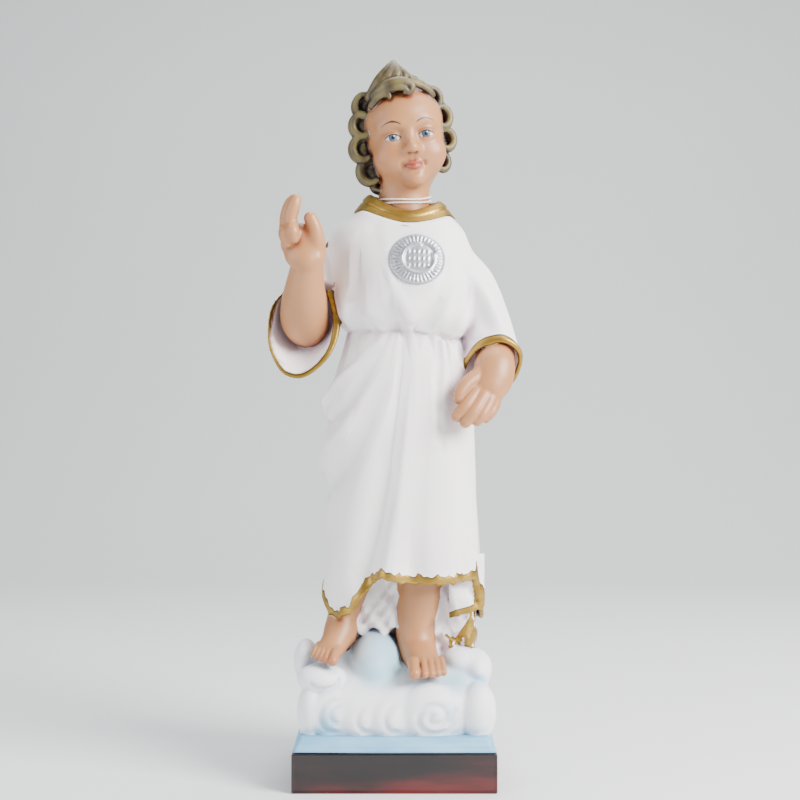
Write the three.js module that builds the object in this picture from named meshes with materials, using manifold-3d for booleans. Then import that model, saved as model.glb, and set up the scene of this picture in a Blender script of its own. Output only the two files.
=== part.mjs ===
// Painted plaster figure of a blessing child in a long robe, on a bank of cloud over a low lacquered plinth.
// Millimetres. The origin is the middle of the plinth's underside. +Z is up, the figure faces -Y.

import * as THREE from "three";
import { mergeVertices } from "three/addons/utils/BufferGeometryUtils.js";
import Module from "manifold-3d";

const wasm = await Module();
wasm.setup();

// Driving dimensions
const PLINTH = { width: 110, depth: 100, height: 21, corner: 2.2, bevel: 0.8 };
const GAP = 0.3;
const BED = { rise: 7.6, inset: 4.6, lip: 1.4, setback: 0.4, ledge: 8, corner: 5 };
const CLOUD = { bottom: PLINTH.height + GAP + BED.rise - 0.6, width: 100, depth: 89, top: 66, lobe: 3 };
const HEM = { lip: 2.6, recess: 9, crown: 128 };
const WAIST = { below: 245, middle: 248, above: 249 };
const COLLAR = {
  middle: [5.6, -1],
  width: 27,
  front: 21,
  back: 20,
  profile: [[1.03, -1.6], [0.99, 1.2], [0.86, 2], [0.84, 3.8], [0.7, 4.4]],
};
const NECK = { middle: [5.3, 1], radius: 14.1 };
const HEAD = { middle: [5.6, 0, 358.5], half: [23.6, 27.5, 31], roll: 8.5, turn: 6 };
const EMBLEM = {
  middle: [12.3, 286.5],
  half: [15.4, 14.1],
  flutes: 36,
  flute: 0.965,
  disc: 0.585,
  shift: 0.8,
  proud: 1.4,
  discProud: 2.2,
  root: 5,
};
const THREAD = { strand: 0.55, turns: 2, pitch: 2, clear: 1, middle: 323.4 };

const { degToRad, lerp, clamp } = THREE.MathUtils;
const at = (x, y, z) => new THREE.Vector3(x, y, z);

// Turns a closed geometry into a solid whose faces point out
function solid(geometry) {
  geometry.deleteAttribute("normal");
  geometry.deleteAttribute("uv");
  const merged = mergeVertices(geometry, 1e-4);
  const corners = new Float32Array(merged.getAttribute("position").array);
  const faces = new Uint32Array(merged.index.array);
  if (enclosedVolume(corners, faces) < 0) {
    for (let face = 0; face < faces.length; face += 3) {
      [faces[face], faces[face + 1]] = [faces[face + 1], faces[face]];
    }
  }
  return new wasm.Manifold(new wasm.Mesh({ numProp: 3, vertProperties: corners, triVerts: faces }));
}

function enclosedVolume(corners, faces) {
  const corner = (index) => at(...corners.slice(3 * index, 3 * index + 3));
  let total = 0;
  for (let face = 0; face < faces.length; face += 3) {
    const [a, b, c] = [corner(faces[face]), corner(faces[face + 1]), corner(faces[face + 2])];
    total += a.dot(b.cross(c)) / 6;
  }
  return total;
}

// Faces of the outer skin only: pockets closed in between joined parts are filled
function outerFaces(faces, cornerCount) {
  const parent = Array.from({ length: cornerCount }, (_, index) => index);
  const root = (index) => {
    let top = index;
    while (parent[top] !== top) top = parent[top];
    while (parent[index] !== top) [parent[index], index] = [top, parent[index]];
    return top;
  };
  for (let face = 0; face < faces.length; face += 3) {
    parent[root(faces[face])] = root(faces[face + 1]);
    parent[root(faces[face + 1])] = root(faces[face + 2]);
  }
  const shells = new Map();
  for (let face = 0; face < faces.length; face += 3) {
    const key = root(faces[face]);
    if (!shells.has(key)) shells.set(key, []);
    shells.get(key).push(...faces.slice(face, face + 3));
  }
  return [...shells.values()].reduce((largest, shell) => (shell.length > largest.length ? shell : largest));
}

function geometryOf(body) {
  const mesh = body.getMesh();
  const corners = new Float32Array(mesh.vertProperties);
  const geometry = new THREE.BufferGeometry();
  geometry.setAttribute("position", new THREE.BufferAttribute(corners, 3));
  geometry.setIndex(outerFaces(mesh.triVerts, corners.length / 3));
  return geometry;
}

const joined = (parts) => parts.reduce((whole, part) => whole.add(part));

// Value at a height on a smooth curve through rows of [height, value, ...]
function along(rows, height, column = 1) {
  const last = rows.length - 1;
  if (height <= rows[0][0]) return rows[0][column];
  if (height >= rows[last][0]) return rows[last][column];
  const next = rows.findIndex((row) => row[0] > height);
  const slope = (index) => {
    const [below, above] = [rows[Math.max(index - 1, 0)], rows[Math.min(index + 1, last)]];
    return (above[column] - below[column]) / (above[0] - below[0]);
  };
  const span = rows[next][0] - rows[next - 1][0];
  const t = (height - rows[next - 1][0]) / span;
  const blend = t * t * (3 - 2 * t);
  return (
    lerp(rows[next - 1][column], rows[next][column], blend) +
    span * t * (1 - t) * ((1 - t) * slope(next - 1) - t * slope(next))
  );
}

// Closed skin through rings of points, from one tip to the other
function skin(firstTip, rings, lastTip) {
  const sides = rings[0].length;
  const sphere = new THREE.SphereGeometry(1, sides, rings.length + 1);
  const position = sphere.getAttribute("position");
  for (let row = 0; row <= rings.length + 1; row += 1) {
    for (let column = 0; column <= sides; column += 1) {
      const ring = rings[row - 1];
      const point = row === 0 ? firstTip : ring ? ring[column % sides] : lastTip;
      position.setXYZ(row * (sides + 1) + column, point.x, point.y, point.z);
    }
  }
  return solid(sphere);
}

// Rounded limb along stations of [x, y, z, radius, width]; width stretches its section along the side
function limb(stations, { side = at(1, 0, 0), sides = 8, steps = 1, rounding = 0.7 } = {}) {
  const path = new THREE.CatmullRomCurve3(stations.map(([x, y, z]) => at(x, y, z)));
  const rows = stations.map(([, , , radius, width = 1], index) => [index, radius, width]);
  const count = (stations.length - 1) * steps;
  const rings = [];
  const ringAt = (centre, tangent, radius, width) => {
    const across = side.clone().addScaledVector(tangent, -side.dot(tangent)).normalize();
    const through = tangent.clone().cross(across);
    return Array.from({ length: sides }, (_, index) => {
      const angle = (2 * Math.PI * (index + 0.5)) / sides;
      return centre
        .clone()
        .addScaledVector(across, Math.cos(angle) * radius * width)
        .addScaledVector(through, Math.sin(angle) * radius);
    });
  };
  const place = (step) => {
    const t = step / count;
    const station = t * (stations.length - 1);
    return [path.getPoint(t), path.getTangent(t), along(rows, station, 1), along(rows, station, 2)];
  };
  const [start, out, startRadius, startWidth] = place(0);
  const [end, on, endRadius, endWidth] = place(count);
  const shoulder = Math.sqrt(1 - rounding * rounding);
  const firstCap = start.clone().addScaledVector(out, -startRadius * rounding);
  const lastCap = end.clone().addScaledVector(on, endRadius * rounding);
  rings.push(ringAt(firstCap, out, startRadius * shoulder, startWidth));
  for (let step = 0; step <= count; step += 1) {
    rings.push(ringAt(...place(step)));
  }
  rings.push(ringAt(lastCap, on, endRadius * shoulder, endWidth));
  const firstTip = start.clone().addScaledVector(out, -startRadius);
  const lastTip = end.clone().addScaledVector(on, endRadius);
  return skin(firstTip, rings, lastTip);
}

// Egg-shaped lump
function lump([x, y, z], [halfX, halfY, halfZ], { turn = [0, 0, 0], sides = 8, rows = 5 } = {}) {
  const sphere = new THREE.SphereGeometry(1, sides, rows);
  sphere.scale(halfX, halfY, halfZ);
  sphere.rotateX(degToRad(turn[0]));
  sphere.rotateY(degToRad(turn[1]));
  sphere.rotateZ(degToRad(turn[2]));
  sphere.translate(x, y, z);
  return solid(sphere);
}

// Distance from the middle of a rounded oblong of the given half sizes to its edge, in one direction
function oblong(angle, halfWidth, halfDepth, squareness) {
  const across = Math.abs(Math.cos(angle) / halfWidth) ** squareness;
  const through = Math.abs(Math.sin(angle) / halfDepth) ** squareness;
  return (across + through) ** (-1 / squareness);
}

// Directions round the figure are in degrees: 0 is its left, 90 its front, 180 its right and 270 its back
function around(middle, distance, degrees, z) {
  const angle = degToRad(degrees);
  return at(middle[0] + distance * Math.cos(angle), middle[1] - distance * Math.sin(angle), z);
}

const directions = (count) => Array.from({ length: count }, (_, index) => (360 * index) / count);

// Outline of a block with rounded corners, counter-clockwise from its right front corner
function blockOutline(halfWidth, halfDepth, corner, pointsPerCorner = 4) {
  const points = [];
  for (const [signX, signY, from] of [[1, -1, -90], [1, 1, 0], [-1, 1, 90], [-1, -1, 180]]) {
    for (let step = 0; step < pointsPerCorner; step += 1) {
      const angle = degToRad(from + (90 * step) / (pointsPerCorner - 1));
      const x = signX * (halfWidth - corner) + Math.cos(angle) * corner;
      const y = signY * (halfDepth - corner) + Math.sin(angle) * corner;
      points.push(new THREE.Vector2(x, y));
    }
  }
  return points;
}

function plinthBlock() {
  const [halfWidth, halfDepth] = [PLINTH.width / 2 - PLINTH.bevel, PLINTH.depth / 2 - PLINTH.bevel];
  const outline = new THREE.Shape(blockOutline(halfWidth, halfDepth, PLINTH.corner));
  const block = new THREE.ExtrudeGeometry(outline, {
    depth: PLINTH.height - 2 * PLINTH.bevel,
    bevelSize: PLINTH.bevel,
    bevelThickness: PLINTH.bevel,
    bevelSegments: 1,
  });
  block.translate(0, 0, PLINTH.bevel);
  return solid(block);
}

// Sloping ledge of the bed that the clouds lie on
function bed() {
  const bottom = PLINTH.height + GAP;
  const levels = [
    [bottom, BED.setback, PLINTH.corner],
    [bottom + BED.lip, BED.setback, PLINTH.corner],
    [bottom + BED.rise, BED.inset, BED.corner],
    [bottom + BED.rise + 0.2, BED.inset + BED.ledge, BED.corner],
  ];
  const rings = levels.map(([z, inset, corner]) =>
    blockOutline(PLINTH.width / 2 - inset, PLINTH.depth / 2 - inset, corner).map(({ x, y }) => at(x, y, z)),
  );
  return skin(at(0, 0, bottom), rings, at(0, 0, levels[3][0]));
}

// Bank of cloud, which falls away in front of the feet: [height, half width, half depth, middle y]
const CLOUD_PROFILE = [
  [CLOUD.bottom, 48, 42.5, 0],
  [36, 49, 43.5, 0],
  [46, CLOUD.width / 2, CLOUD.depth / 2, 0],
  [53, 49.5, 41, 1.5],
  [58, 47, 37, 4],
  [62, 41, 28, 9],
  [CLOUD.top, 32, 19, 13],
];

// Point on the bank's face in a direction, with soft lobes round its upper edge
function onBank(degrees, z) {
  const [halfWidth, halfDepth, middleY] = [1, 2, 3].map((column) => along(CLOUD_PROFILE, z, column));
  const lobe = CLOUD.lobe * Math.abs(Math.sin(degToRad(degrees * 4 + 20))) * clamp((z - 44) / 12, 0, 1);
  return around([0, middleY], oblong(degToRad(degrees), halfWidth, halfDepth, 4.6) + lobe, degrees, z);
}

function cloudBank() {
  const heights = [CLOUD.bottom, 36, 46, 53, 58, 62, CLOUD.top];
  const rings = heights.map((z) => directions(24).map((degrees) => onBank(degrees, z)));
  return skin(at(0, 0, CLOUD.bottom), rings, at(0, 13, CLOUD.top + 1));
}

// Rolled curl of cloud: a tapering roll that winds inwards, half sunk into the face of the bank
const CURL = { stepsPerTurn: 7, tighten: 0.72, taper: 0.25, sunk: 0.8, rise: 2.2, span: 8 };

function cloudCurl({ facing, middle, half, turns, from, roll, way = 1 }) {
  const heart = onBank(facing, middle);
  const alongFace = onBank(facing + CURL.span, middle).sub(onBank(facing - CURL.span, middle));
  const outwards = at(0, 0, 1).cross(alongFace).normalize();
  const across = at(0, 0, 1).cross(outwards).normalize();
  const count = Math.round(turns * CURL.stepsPerTurn);
  const stations = Array.from({ length: count + 1 }, (_, index) => {
    const t = index / count;
    const angle = degToRad(from) + way * t * turns * 2 * Math.PI;
    const reach = 1 - CURL.tighten * t;
    const point = heart
      .clone()
      .addScaledVector(across, Math.cos(angle) * (half[0] - roll) * reach)
      .addScaledVector(outwards, CURL.rise * t - CURL.sunk);
    point.z = middle + Math.sin(angle) * (half[1] - roll) * reach;
    return [point.x, point.y, point.z, roll * (1 - CURL.taper * t)];
  });
  return limb(stations, { side: outwards, sides: 4 });
}

function clouds() {
  const curls = [
    { facing: 66, middle: 41, half: [18.5, 15.5], turns: 1.5, from: 200, roll: 5.2, way: -1 },
    { facing: 92, middle: 41.5, half: [12, 16.5], turns: 0.6, from: 80, roll: 4.8 },
    { facing: 110, middle: 41.5, half: [12, 16.5], turns: 0.6, from: 80, roll: 4.8 },
    { facing: 130, middle: 42, half: [13, 17], turns: 0.6, from: 80, roll: 5 },
    { facing: 4, middle: 42, half: [19, 16], turns: 0.8, from: 150, roll: 5, way: -1 },
    { facing: 176, middle: 42, half: [19, 16], turns: 0.8, from: 30, roll: 5 },
    { facing: 244, middle: 42, half: [21, 16], turns: 0.8, from: 30, roll: 5 },
    { facing: 296, middle: 42, half: [21, 16], turns: 0.8, from: 150, roll: 5, way: -1 },
  ];
  const puffs = [
    [[-38, -29, 55.5], [14, 13, 8.5]],
    [[-43, 2, 63], [12, 18, 10]],
    [[40, -8, 60], [13, 18, 9]],
    [[44, -33, 42], [10, 11, 15]],
    [[0, 33, 62], [30, 12, 8]],
  ];
  const roundPuffs = puffs.map(([middle, half]) => lump(middle, half, { rows: 4 }));
  return [cloudBank(), ...curls.map(cloudCurl), ...roundPuffs];
}

// Robe sections: [height, right edge x, left edge x, front y, back y]
const ROBE = [
  [76, -40, 49, -36, 40],
  [96, -40, 50.5, -37.5, 39],
  [124, -38, 48.2, -37, 37],
  [156, -38.8, 46.4, -36, 34],
  [187, -39, 45.3, -34.5, 31],
  [209, -38.5, 44.4, -32.5, 28],
  [232, -33, 41.5, -29, 24],
  [246, -29.5, 39, -26.5, 21.5],
  [250, -31, 42, -29.5, 23],
  [257, -34.5, 44.5, -33, 24.5],
  [272, -34, 45, -32, 24.5],
  [288, -35.5, 43, -29, 23],
  [299, -38, 42.5, -25.5, 20.5],
  [306, -34.5, 39.5, -23.5, 19],
  [312, -25, 33.5, -21.5, 17.5],
];
const ROBE_SQUARENESS = 2.35;

// Fold: a line of [height, direction], then its width and relief at the line's lower and upper end
const fold = (line, width, relief) => ({ line, width, relief });

// Folds of the skirt, from hem to waist
const SKIRT_FOLDS = [
  fold([[198, 200], [207, 180], [218, 166], [230, 136], [243, 108]], [9, 4], [4, 1.2]),
  fold([[165, 205], [175, 180], [190, 144], [204, 122], [225, 107], [242, 99]], [10, 3.5], [4.6, 1.2]),
  fold([[108, 143], [130, 133], [155, 124], [177, 113], [199, 102], [241, 94]], [11, 3.5], [2.6, 1.4]),
  fold([[106, 123], [122, 118], [142, 108], [162, 101], [184, 95], [204, 90], [243, 90]], [8, 3], [-4.6, -2]),
  fold([[108, 106], [130, 100], [155, 94], [173, 89], [198, 85], [242, 86]], [9, 4], [2.6, 1.2]),
  fold([[108, 77], [148, 77], [173, 79], [216, 72], [238, 72]], [11, 4], [-2, -0.8]),
  fold([[108, 52], [142, 52], [173, 54], [204, 62], [242, 64]], [10, 4], [1.8, 1]),
  fold([[108, 40], [184, 37], [238, 44]], [8, 4], [-1.6, -1.4]),
  fold([[96, 14], [180, 16], [238, 26]], [10, 5], [2, 1]),
  fold([[128, 186], [139, 180], [150, 172]], [8, 6], [3.4, 0.6]),
  fold([[90, 160], [108, 163], [124, 160]], [9, 7], [2.6, 0.5]),
];
const BACK = { folds: 7, first: 214, step: 19.5, gather: 2.5, relief: [1.6, 1] };
const BACK_FOLDS = Array.from({ length: BACK.folds }, (_, index) => {
  const direction = BACK.first + index * BACK.step;
  const drawnIn = (index - (BACK.folds - 1) / 2) * BACK.gather;
  const sign = index % 2 ? -1 : 1;
  return fold([[88, direction], [160, direction - drawnIn], [238, direction - 2 * drawnIn]], [9, 5], [
    sign * BACK.relief[0],
    sign * BACK.relief[1],
  ]);
});

// Folds of the bodice, drawn in to the waist
const BODICE_FOLDS = [
  fold([[252, 148], [262, 151], [278, 146], [293, 140]], [6, 3], [-5, -1.2]),
  fold([[252, 116], [262, 124], [276, 126], [304, 122]], [5, 5], [-2.8, -0.8]),
  fold([[251, 108], [258, 114], [270, 117], [300, 110]], [5, 6], [2.2, 0.8]),
  fold([[250, 84], [254, 72], [262, 64], [272, 58]], [5, 5], [-2.8, -1]),
  fold([[252, 40], [268, 44], [290, 46]], [6, 5], [1.8, 0.8]),
  fold([[252, 30], [270, 32], [288, 34]], [4, 3], [-2.2, -0.6]),
];

// Height of one fold's relief where the robe is met in a direction, at a height
function foldRelief({ line, width, relief }, degrees, z, distance) {
  const [low, high] = [line[0][0], line[line.length - 1][0]];
  const rise = clamp((z - low) / (high - low), 0, 1);
  const fade = clamp(1 - Math.max(low - z, z - high, 0) / 14, 0, 1);
  const off = ((degrees - along(line, z) + 540) % 360) - 180;
  const reach = (degToRad(off) * distance) / lerp(width[0], width[1], rise);
  return lerp(relief[0], relief[1], rise) * fade * Math.exp(-reach * reach);
}

function robeMiddle(z) {
  return [(along(ROBE, z, 1) + along(ROBE, z, 2)) / 2, (along(ROBE, z, 3) + along(ROBE, z, 4)) / 2];
}

function robeReach(degrees, z) {
  const halfWidth = (along(ROBE, z, 2) - along(ROBE, z, 1)) / 2;
  const halfDepth = (along(ROBE, z, 4) - along(ROBE, z, 3)) / 2;
  const plain = oblong(degToRad(degrees), halfWidth, halfDepth, ROBE_SQUARENESS);
  const folds = z < WAIST.middle ? [...SKIRT_FOLDS, ...BACK_FOLDS] : BODICE_FOLDS;
  return folds.reduce((reach, each) => reach + foldRelief(each, degrees, z, plain), plain);
}

// Height of the hem in each direction: [direction, height]
const HEM_LINE = [
  [0, 88],
  [14, 91],
  [24, 100],
  [29, 112],
  [54, 114],
  [72, 113.5],
  [90, 111],
  [104, 116],
  [113, 114],
  [123, 104],
  [132, 91],
  [147, 88.5],
  [165, 94],
  [178, 96],
  [200, 90],
  [235, 80],
  [270, 77],
  [310, 79],
  [340, 83],
  [360, 88],
];

// Columns of the robe's skin stand closer together in front, where the folds are
const FRONT_COLUMNS = directions(36).filter((degrees) => degrees <= 200);
const BACK_COLUMNS = [210, 222, 234, 246, 258, 270, 284, 298, 312, 326, 343];
const ROBE_COLUMNS = [...FRONT_COLUMNS, ...BACK_COLUMNS];

function robe() {
  const columns = ROBE_COLUMNS;
  const hemRing = (inset, lift) =>
    columns.map((degrees) => {
      const z = along(HEM_LINE, degrees);
      return around(robeMiddle(z), robeReach(degrees, z) - inset, degrees, z + lift);
    });
  const skirtShares = [0.07, 0.19, 0.32, 0.45, 0.58, 0.71, 0.84, 1];
  const skirt = skirtShares.map((share) =>
    columns.map((degrees) => {
      const z = lerp(along(HEM_LINE, degrees), WAIST.below, share);
      return around(robeMiddle(z), robeReach(degrees, z), degrees, z);
    }),
  );
  const bodice = [WAIST.above, 253, 260, 271, 285, 297, 305].map((z) =>
    columns.map((degrees) => around(robeMiddle(z), robeReach(degrees, z), degrees, z)),
  );
  const collarRing = ([scale, lift]) =>
    columns.map((degrees) => {
      const depth = degrees < 180 ? COLLAR.front : COLLAR.back;
      const reach = oblong(degToRad(degrees), COLLAR.width, depth, 2) * scale;
      return around(COLLAR.middle, reach, degrees, collarHeight(degrees) + lift);
    });
  const rings = [
    hemRing(HEM.lip + 1, HEM.recess),
    hemRing(HEM.lip, 0),
    hemRing(0, 0),
    ...skirt,
    ...bodice,
    ...COLLAR.profile.map(collarRing),
  ];
  return skin(at(5, 0, HEM.crown), rings, at(COLLAR.middle[0], COLLAR.middle[1], 306));
}

// The collar dips in front and on the figure's left
function collarHeight(degrees) {
  const angle = degToRad(degrees);
  const dip = Math.max(Math.sin(angle), 0) ** 1.5;
  return 315.4 - 8.4 * dip - 1.6 * Math.cos(angle);
}

// Under-drape behind and between the legs, down to the clouds, and the turned-in pleat on the figure's left
function underDrape() {
  const rows = [
    [56, 0.16, 0.78],
    [76, 0.2, 0.8],
    [100, 0.26, 0.84],
    [124, 0.4, 0.88],
  ];
  const rings = rows.map(([z, front, back]) =>
    directions(24).map((degrees) => {
      const angle = degToRad(degrees);
      const share = lerp(back, front, Math.max(Math.sin(angle), 0) ** 0.7);
      const wave = 1.6 * Math.sin(angle * 12 + z / 7);
      return around(robeMiddle(z), robeReach(degrees, Math.max(z, 80)) * share + wave, degrees, z);
    }),
  );
  const pleat = limb([[44, -6, 118, 5, 1.6], [43.5, -9, 104, 5.4, 1.6], [42, -11, 92.5, 5.6, 1.7]], {
    side: at(0.86, 0.5, 0),
    rounding: 0.4,
  });
  return [skin(at(5, 0, 55), rings, at(5, 0, 130)), pleat];
}

// Sleeve: frames of [middle, half width direction, half height direction, longer lower half]
function sleeveRing([middle, across, up, drop = 1, skew = 0], inset, sides) {
  return Array.from({ length: sides }, (_, index) => {
    const angle = (2 * Math.PI * index) / sides;
    const [cos, sin] = [Math.cos(angle), Math.sin(angle)];
    const fall = sin < 0 ? drop : 1;
    const shrink = (vector) => vector.clone().setLength(vector.length() - inset);
    return middle
      .clone()
      .addScaledVector(shrink(across), cos + (sin < 0 ? skew * sin * sin : 0))
      .addScaledVector(shrink(up), sin * fall);
  });
}

function blendFrames(frames, t) {
  const span = t * (frames.length - 1);
  const mixed = (index) => new THREE.CatmullRomCurve3(frames.map((frame) => frame[index])).getPoint(t);
  const rows = frames.map((frame, index) => [index, frame[3] ?? 1, frame[4] ?? 0]);
  return [mixed(0), mixed(1), mixed(2), along(rows, span, 1), along(rows, span, 2)];
}

function sleeve(frames, wall, depth, sides = 14) {
  const outerSteps = [0, 0.3, 0.52, 0.72, 0.88, 1];
  const outer = outerSteps.map((t) => sleeveRing(blendFrames(frames, t), 0, sides));
  const mouth = frames[frames.length - 1][0];
  const rim = sleeveRing(blendFrames(frames, 1), wall, sides);
  const outerBody = skin(frames[0][0], [...outer, rim], mouth);
  const innerSteps = [1 - depth, 1 - depth * 0.55, 1];
  const inner = innerSteps.map((t) => sleeveRing(blendFrames(frames, t), wall + (1 - t) * 5, sides));
  const beyond = mouth.clone().sub(frames[frames.length - 2][0]).setLength(3);
  const lifted = inner[2].map((point) => point.clone().add(beyond));
  const bottom = inner[0].reduce((sum, point) => sum.add(point), at(0, 0, 0)).divideScalar(sides);
  const hollow = skin(bottom, [...inner, lifted], mouth.clone().addScaledVector(beyond, 1.2));
  return outerBody.subtract(hollow);
}

const RIGHT_SLEEVE = [
  [at(-26, 1, 290), at(11, 0, -8), at(0, -16, 0)],
  [at(-37, 2, 281), at(13.5, 0, -7), at(0, -19, 1)],
  [at(-46, 0, 264), at(17.5, 0, -4), at(0, -16, 13), 1.15],
  [at(-50.3, -18, 252), at(20.4, 0, 0), at(0, 5.5, 22), 1.38, -0.16],
];
const LEFT_SLEEVE = [
  [at(30, 1, 290), at(11, 0, 6), at(0, -16, 0)],
  [at(44, 2, 273), at(12, 0, 5), at(0, -19, 1)],
  [at(52.5, -1, 250), at(13.5, 1, 2), at(-1, -17, 5)],
  [at(54.2, -15, 226), at(14.6, 3, -3), at(3, -9, 16.5)],
];

function rightArm() {
  const stations = [
    [-48, 1, 253, 10],
    [-50.5, -10, 256, 13.4],
    [-49, -22, 269, 11.6],
    [-47.6, -30, 283, 8.6, 1.06],
    [-49.5, -34, 292, 7.6, 1.3],
  ];
  const forearm = limb(stations, { sides: 10 });
  const palm = lump([-50.8, -36, 297.5], [11.2, 6.4, 11], { turn: [0, -4, 0], rows: 6 });
  const fingers = [
    [[-57, -36, 302, 4.2], [-57.2, -38, 311, 4], [-54.8, -38.5, 317.5, 3.4]],
    [[-53.2, -37.5, 303, 4.1], [-53.6, -40, 311, 3.9], [-52.8, -41, 316, 3.3]],
    [[-58, -39, 300, 3.8], [-57, -44, 300, 3.6], [-55, -44.5, 294.5, 3.4]],
    [[-54, -40.5, 300.5, 3.8], [-52, -44.5, 299, 3.6], [-51, -44, 293.5, 3.2]],
    [[-42.5, -37, 294, 5.4], [-43.6, -39.5, 302, 4.4], [-45.4, -40.5, 308.4, 3.7]],
  ];
  return [forearm, palm, ...fingers.map((finger) => limb(finger, { sides: 6 }))];
}

function leftArm() {
  const hand = limb(
    [[57, -6, 240, 10.5], [57.5, -16, 230, 11, 1], [53.5, -25, 220, 8.4, 1.22], [48, -31.5, 211, 5.8, 1.6]],
    { side: at(0.92, 0, 0.38) },
  );
  const fingers = [
    [[43, -33, 214, 3.4], [37.6, -36, 205.5, 3.3], [33.8, -36.2, 199.6, 2.8]],
    [[46.6, -33.6, 210.5, 3.4], [42.2, -37, 202.5, 3.4], [38.9, -37, 197, 2.9]],
    [[50.4, -32.4, 208.6, 3.3], [47.2, -35.4, 202, 3.2], [44.6, -35.6, 197.6, 2.8]],
    [[53.6, -29.6, 208, 3], [51.6, -32, 203, 2.9], [49.6, -32.4, 199.8, 2.5]],
    [[46.4, -28, 223, 3.8], [39.4, -33.5, 219.4, 3.4], [34, -35.4, 215.6, 2.9]],
  ];
  return [hand, ...fingers.map((finger) => limb(finger, { sides: 6 }))];
}

// Leg down to the foot, with five toes across the front; big is the side of the big toe, -1 for -X
function legAndFoot({ leg, foot, toes, big }) {
  const toeCount = 5;
  const row = Array.from({ length: toeCount }, (_, index) => {
    const t = index / (toeCount - 1);
    const share = big < 0 ? t : 1 - t;
    const radius = lerp(3.5, 2.3, Math.min(1, t * 1.6));
    const [start, end] = toes;
    const x = lerp(start[0], end[0], share);
    const y = lerp(start[1], end[1], share) - Math.sin(Math.PI * (0.25 + 0.6 * t)) * 2;
    const z = lerp(start[2], end[2], share);
    const half = [radius, radius * 1.7, radius];
    return lump([x, y, z + radius * 0.5], half, { turn: [12, 0, 0], sides: 5, rows: 4 });
  });
  return [limb(leg), limb(foot), ...row];
}

function legs() {
  const left = legAndFoot({
    leg: [[14, -4, 124, 14.4], [14, -5, 106, 13.8], [12, -6, 90, 10.6], [11, -7, 76, 9.4]],
    foot: [[11.4, 2, 66, 8.5], [12.6, -12, 66.5, 9], [15.4, -26, 63, 6.8, 1.35], [17.4, -35, 60.5, 4, 2.2]],
    toes: [[10.4, -38, 59.2], [26, -36, 58.6]],
    big: -1,
  });
  const right = legAndFoot({
    leg: [[-22, -6, 120, 12.5], [-27, -9, 100, 9.6], [-30, -12, 86, 8]],
    foot: [[-29, -6, 76, 7.6], [-31, -16, 77, 7.6], [-33.6, -28, 71.5, 6, 1.3], [-35.2, -35, 68.2, 3.6, 2]],
    toes: [[-43.4, -34.5, 66.4], [-29.4, -38, 66.6]],
    big: 1,
  });
  return [...left, ...right];
}

// Head on plain proportions for a child: a skull and jaw with soft features, turned and tilted as a whole
function headSection(up) {
  const squareness = up < 0 ? 2.5 : 2.1;
  const round = (1 - Math.abs(up) ** squareness) ** (1 / squareness);
  return [round * (up < 0 ? 1 - 0.14 * up * up : 1), round];
}

// Features as [half spacing, height, half width, half height, relief]
const FEATURES = {
  nose: [0, -8, 3.2, 4.4, 4.6],
  bridge: [0, -2, 2.4, 5, 1.8],
  eyes: [9, -2.5, 5.5, 4, -1.4],
  cheeks: [11, -13, 7, 6.5, 1.6],
  lips: [0, -16.6, 5.5, 2.6, 1.8],
  chin: [0, -25, 6.5, 4, 2],
};

function faceRelief(x, z) {
  return Object.values(FEATURES).reduce((sum, [spacing, height, halfWidth, halfTall, relief]) => {
    const off = [(Math.abs(x) - spacing) / halfWidth, (z - height) / halfTall];
    return sum + relief * Math.exp(-off[0] * off[0] - off[1] * off[1]);
  }, 0);
}

// Head coordinates to the figure's: turned to its left, rolled to its right
function headPlace(x, y, z) {
  const turned = at(x, y, z).applyAxisAngle(at(0, 0, 1), degToRad(HEAD.turn));
  return turned.applyAxisAngle(at(0, 1, 0), degToRad(-HEAD.roll)).add(at(...HEAD.middle));
}

function head() {
  const [halfWidth, halfDepth, halfTall] = HEAD.half;
  const heights = [0.88, 0.6, 0.3, 0.06, -0.1, -0.22, -0.33, -0.46, -0.58, -0.72, -0.9];
  const columns = [38, 54, 68, 80, 90, 100, 112, 126, 142, 165, 195, 232, 270, 308, 345, 15];
  const rings = heights.map((up) => {
    const [wide, deep] = headSection(up);
    return columns.map((degrees) => {
      const angle = degToRad(degrees);
      const front = Math.max(Math.sin(angle), 0);
      const depth = halfDepth * deep * lerp(1.04, 0.9, front);
      const x = Math.cos(angle) * halfWidth * wide;
      const relief = degrees > 30 && degrees < 150 ? faceRelief(x, up * halfTall) : 0;
      return headPlace(x, -Math.sin(angle) * depth - relief, up * halfTall);
    });
  });
  const skull = skin(headPlace(0, 0, halfTall), rings, headPlace(0, -3, -halfTall));
  const [neckX, neckY] = NECK.middle;
  const neckRows = [[302, 1.04], [315, 1], [329, 1], [340, 1.02]];
  const neck = limb(neckRows.map(([z, swell]) => [neckX, neckY, z, NECK.radius * swell]), { sides: 16 });
  return [skull, neck];
}

// Hair: a cap with curls in relief, chunky curls low at the sides, a forelock and a pointed tuft
const HAIR = { half: [26, 27, 27.5], back: 3.5, up: 6, nape: 2.5 };
const CURLS = { around: 6, rows: 3, relief: 4, columns: 24, levels: 8 };
const SIDE_CURLS = [[22.5, 1, -17.5, 7.2], [25.5, -5, -7, 7.4], [25, -9, 5, 7.2], [20.5, -15, 15, 6.8]];
const LOCKS = [
  { radius: 5.4, line: [[-2, -18, 27], [-11, -22.5, 22], [-19, -18, 14]] },
  { radius: 5.4, line: [[-1, -18, 27], [9, -22.5, 23], [18, -19, 15]] },
  { radius: 5, line: [[-3, -10, 30], [-5, -12, 36], [-1.8, -11, 40.4]] },
];

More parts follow.
